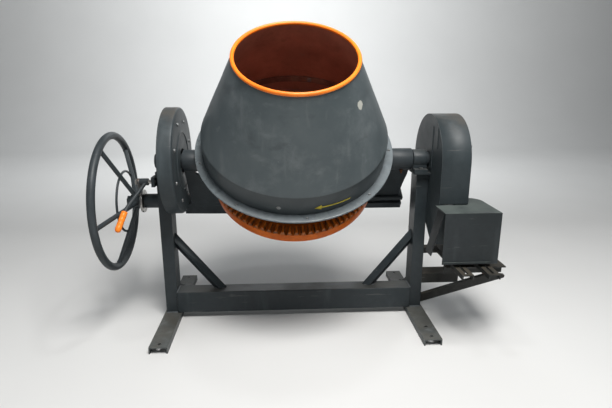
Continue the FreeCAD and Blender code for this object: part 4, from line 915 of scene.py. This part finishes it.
def build_belt_guard():
    """The belt guard: a wide round-topped shell and a narrower foot, with two ribs."""
    low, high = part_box("belt_guard")
    x0, x1 = low[0], high[0]
    radius = (high[1] - low[1]) / 2
    step_x = x0 + GUARD_FOOT_DEPTH
    step_z = TRUNNION.z - GUARD_STEP_DROP
    y0, z0 = TRUNNION.y, TRUNNION.z
    arc = [(y0 - radius * math.cos(math.pi * i / 48), z0 + radius * math.sin(math.pi * i / 48))
           for i in range(49)]
    wide = [(y0 - radius, step_z)] + arc + [(y0 + radius, z0 - 83 * MM), (y0 + 138 * MM, step_z)]
    foot = [(y0 - radius, step_z + 2 * MM), (y0 + 135 * MM, step_z + 2 * MM), (y0 - 118 * MM, low[2]),
            (y0 - radius, low[2] + 17 * MM)]
    shell = hollow_box("guard_shell", wide, x0, x1, 7 * MM)
    lower = hollow_box("guard_foot", foot, x0, step_x, 4 * MM)
    guard = join("guard_shell", [shell, lower])
    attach(guard, "frame")
    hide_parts("belt_guard")
    for index, (y, z_low, z_high) in enumerate(((-128, 60, 150), (-62, -30, 150))):
        path = [Vector((x0 - 2.9 * MM, y0 + y * MM, z0 + z * MM)) for z in (z_low, z_high)]
        weld_bead("guard_rib_%d" % index, path[0], path[1], "frame", casing_paint, 2.4 * MM)


def hollow_box(name, outline, x0, x1, edge):
    """A sheet casing with that side outline, closed on the right and open on the left."""
    count = len(outline)
    corners = [(x1, y, z) for y, z in outline] + [(x0, y, z) for y, z in outline]
    faces = [tuple(range(count))]
    faces += [(i, i + count, (i + 1) % count + count, (i + 1) % count) for i in range(count)]
    mesh = mesh_of(name, corners, faces)
    shape = bmesh.new()
    shape.from_mesh(mesh)
    bmesh.ops.recalc_face_normals(shape, faces=shape.faces)
    sharp = [e for e in shape.edges if len(e.link_faces) == 2 and e.calc_face_angle() > math.radians(30)]
    bmesh.ops.bevel(shape, geom=sharp, offset=edge, segments=4, profile=0.5, affect="EDGES")
    shape.to_mesh(mesh)
    shape.free()
    piece = make_object(name, mesh, casing_paint)
    sheet = piece.modifiers.new("sheet", "SOLIDIFY")
    sheet.thickness = SHEET
    sheet.offset = -1
    with bpy.context.temp_override(object=piece, active_object=piece):
        bpy.ops.object.modifier_apply(modifier=sheet.name)
    return piece


# ---- welds --------------------------------------------------------------------------------------------

def build_welds():
    """Weld lines where the frame's members meet."""
    beam_low, beam_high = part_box("main_beam")
    for side, name in ((-1, "left"), (1, "right")):
        post_low, post_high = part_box(name + "_upright")
        _, foot_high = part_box(name + "_foot_channel")
        inner = post_high[0] if side < 0 else post_low[0]
        z = foot_high[2]
        weld_bead(name + "_foot_weld_front", Vector((post_low[0], post_low[1], z)),
                  Vector((post_high[0], post_low[1], z)), "frame", weld_paint)
        weld_bead(name + "_beam_weld_top", Vector((inner, beam_low[1] + 4 * MM, beam_high[2])),
                  Vector((inner, post_high[1] - 12 * MM, beam_high[2])), "frame", weld_paint)
        weld_bead(name + "_beam_weld_side", Vector((inner, post_low[1], beam_low[2] + 2 * MM)),
                  Vector((inner, post_low[1], beam_high[2])), "frame", weld_paint, 3 * MM)
        brace_x = (beam_low[0] + beam_high[0]) / 2 + side * BRACE_FOOT_X
        weld_bead(name + "_brace_weld", Vector((brace_x - side * 20 * MM, TRUNNION.y, beam_high[2])),
                  Vector((brace_x + side * 26 * MM, TRUNNION.y, beam_high[2])), "frame", weld_paint, 3 * MM)


# ---- stage --------------------------------------------------------------------------------------------

WORLD = 0.12
LIGHTS = (
    ("key", (0.35, -1.45, 3.3), (0, 0, 0.75), 1.3, 146.0, (1.0, 0.985, 0.96)),
    ("top_lamp", (0.02, -0.17, 2.76), (-0.05, -0.33, 0.57), 0.14, 6.0, (1.0, 1.0, 1.0)),
    ("front", (0.1, -3.4, 1.3), (0, 0, 0.8), 1.2, 5.0, (1.0, 0.99, 0.97)),
    ("left_fill", (-3.2, -1.0, 2.2), (-0.3, 0, 0.6), 1.6, 13.0, (0.93, 0.97, 1.0)),
    ("right_fill", (3.0, -0.6, 2.4), (0.3, 0, 0.6), 1.6, 15.0, (0.95, 0.98, 1.0)),
    ("back", (0.3, 3.2, 2.6), (0, 0, 0.7), 1.8, 12.0, (0.95, 0.98, 1.0)),
    ("backdrop", (0.0, 2.8, 3.6), (0, 7.0, 2.0), 3.0, 260.0, (0.97, 0.99, 1.0)),
)


def build_stage():
    """Pale floor that curves up into a backdrop, and soft lights."""
    half = 9.0
    back_y = 5.0
    bend = 2.0
    profile = [(-half, 0.0), (back_y, 0.0)]
    profile += [(back_y + bend * math.sin(math.radians(t)), bend - bend * math.cos(math.radians(t)))
                for t in range(6, 91, 6)]
    profile.append((back_y + bend, 7.0))
    corners = [(side * half, y, z) for y, z in profile for side in (-1, 1)]
    faces = [(2 * i, 2 * i + 1, 2 * i + 3, 2 * i + 2) for i in range(len(profile) - 1)]
    p = Paint("floor")
    tone = p.mix(p.noise(1.4, 4.0, 0.5), (0.62, 0.62, 0.615), (0.67, 0.67, 0.665))
    floor = make_object("floor", mesh_of("floor", corners, faces), p.finish(tone, 0.85))
    scene = bpy.context.scene
    scene.view_settings.view_transform = "Standard"
    world = bpy.data.worlds.new("studio")
    scene.world = world
    world.use_nodes = True
    background = world.node_tree.nodes["Background"]
    background.inputs["Color"].default_value = (0.88, 0.95, 1.0, 1.0)
    background.inputs["Strength"].default_value = WORLD
    for name, place, target, size, power, colour in LIGHTS:
        data = bpy.data.lights.new(name, "AREA")
        data.shape = "SQUARE"
        data.size = size
        data.energy = power
        data.color = colour
        lamp = bpy.data.objects.new(name, data)
        scene.collection.objects.link(lamp)
        way = Vector(target) - Vector(place)
        lamp.matrix_world = Matrix.Translation(place) @ way.to_track_quat("-Z", "Y").to_matrix().to_4x4()


def build_camera():
    """Camera in front of the machine and a little above the drum's middle."""
    place = Vector((-0.09927, -2.00760, 1.06193))
    forward = Vector((0.054757, 0.965838, -0.253297))
    right = Vector((0.998403, -0.056495, 0.000414))
    up = Vector((0.013910, 0.252915, 0.967389))
    data = bpy.data.cameras.new("camera")
    data.sensor_width = 36.0
    data.lens = 28.04
    camera = bpy.data.objects.new("camera", data)
    bpy.context.scene.collection.objects.link(camera)
    turn = Matrix((right, up, -forward)).transposed().to_4x4()
    camera.matrix_world = Matrix.Translation(place) @ turn
    bpy.context.scene.camera = camera


build_camera()
build_stage()
dress_cad_nodes()
build_drum()
build_tilt_casing()
build_handwheel()
build_lever()
build_belt_guard()
build_welds()
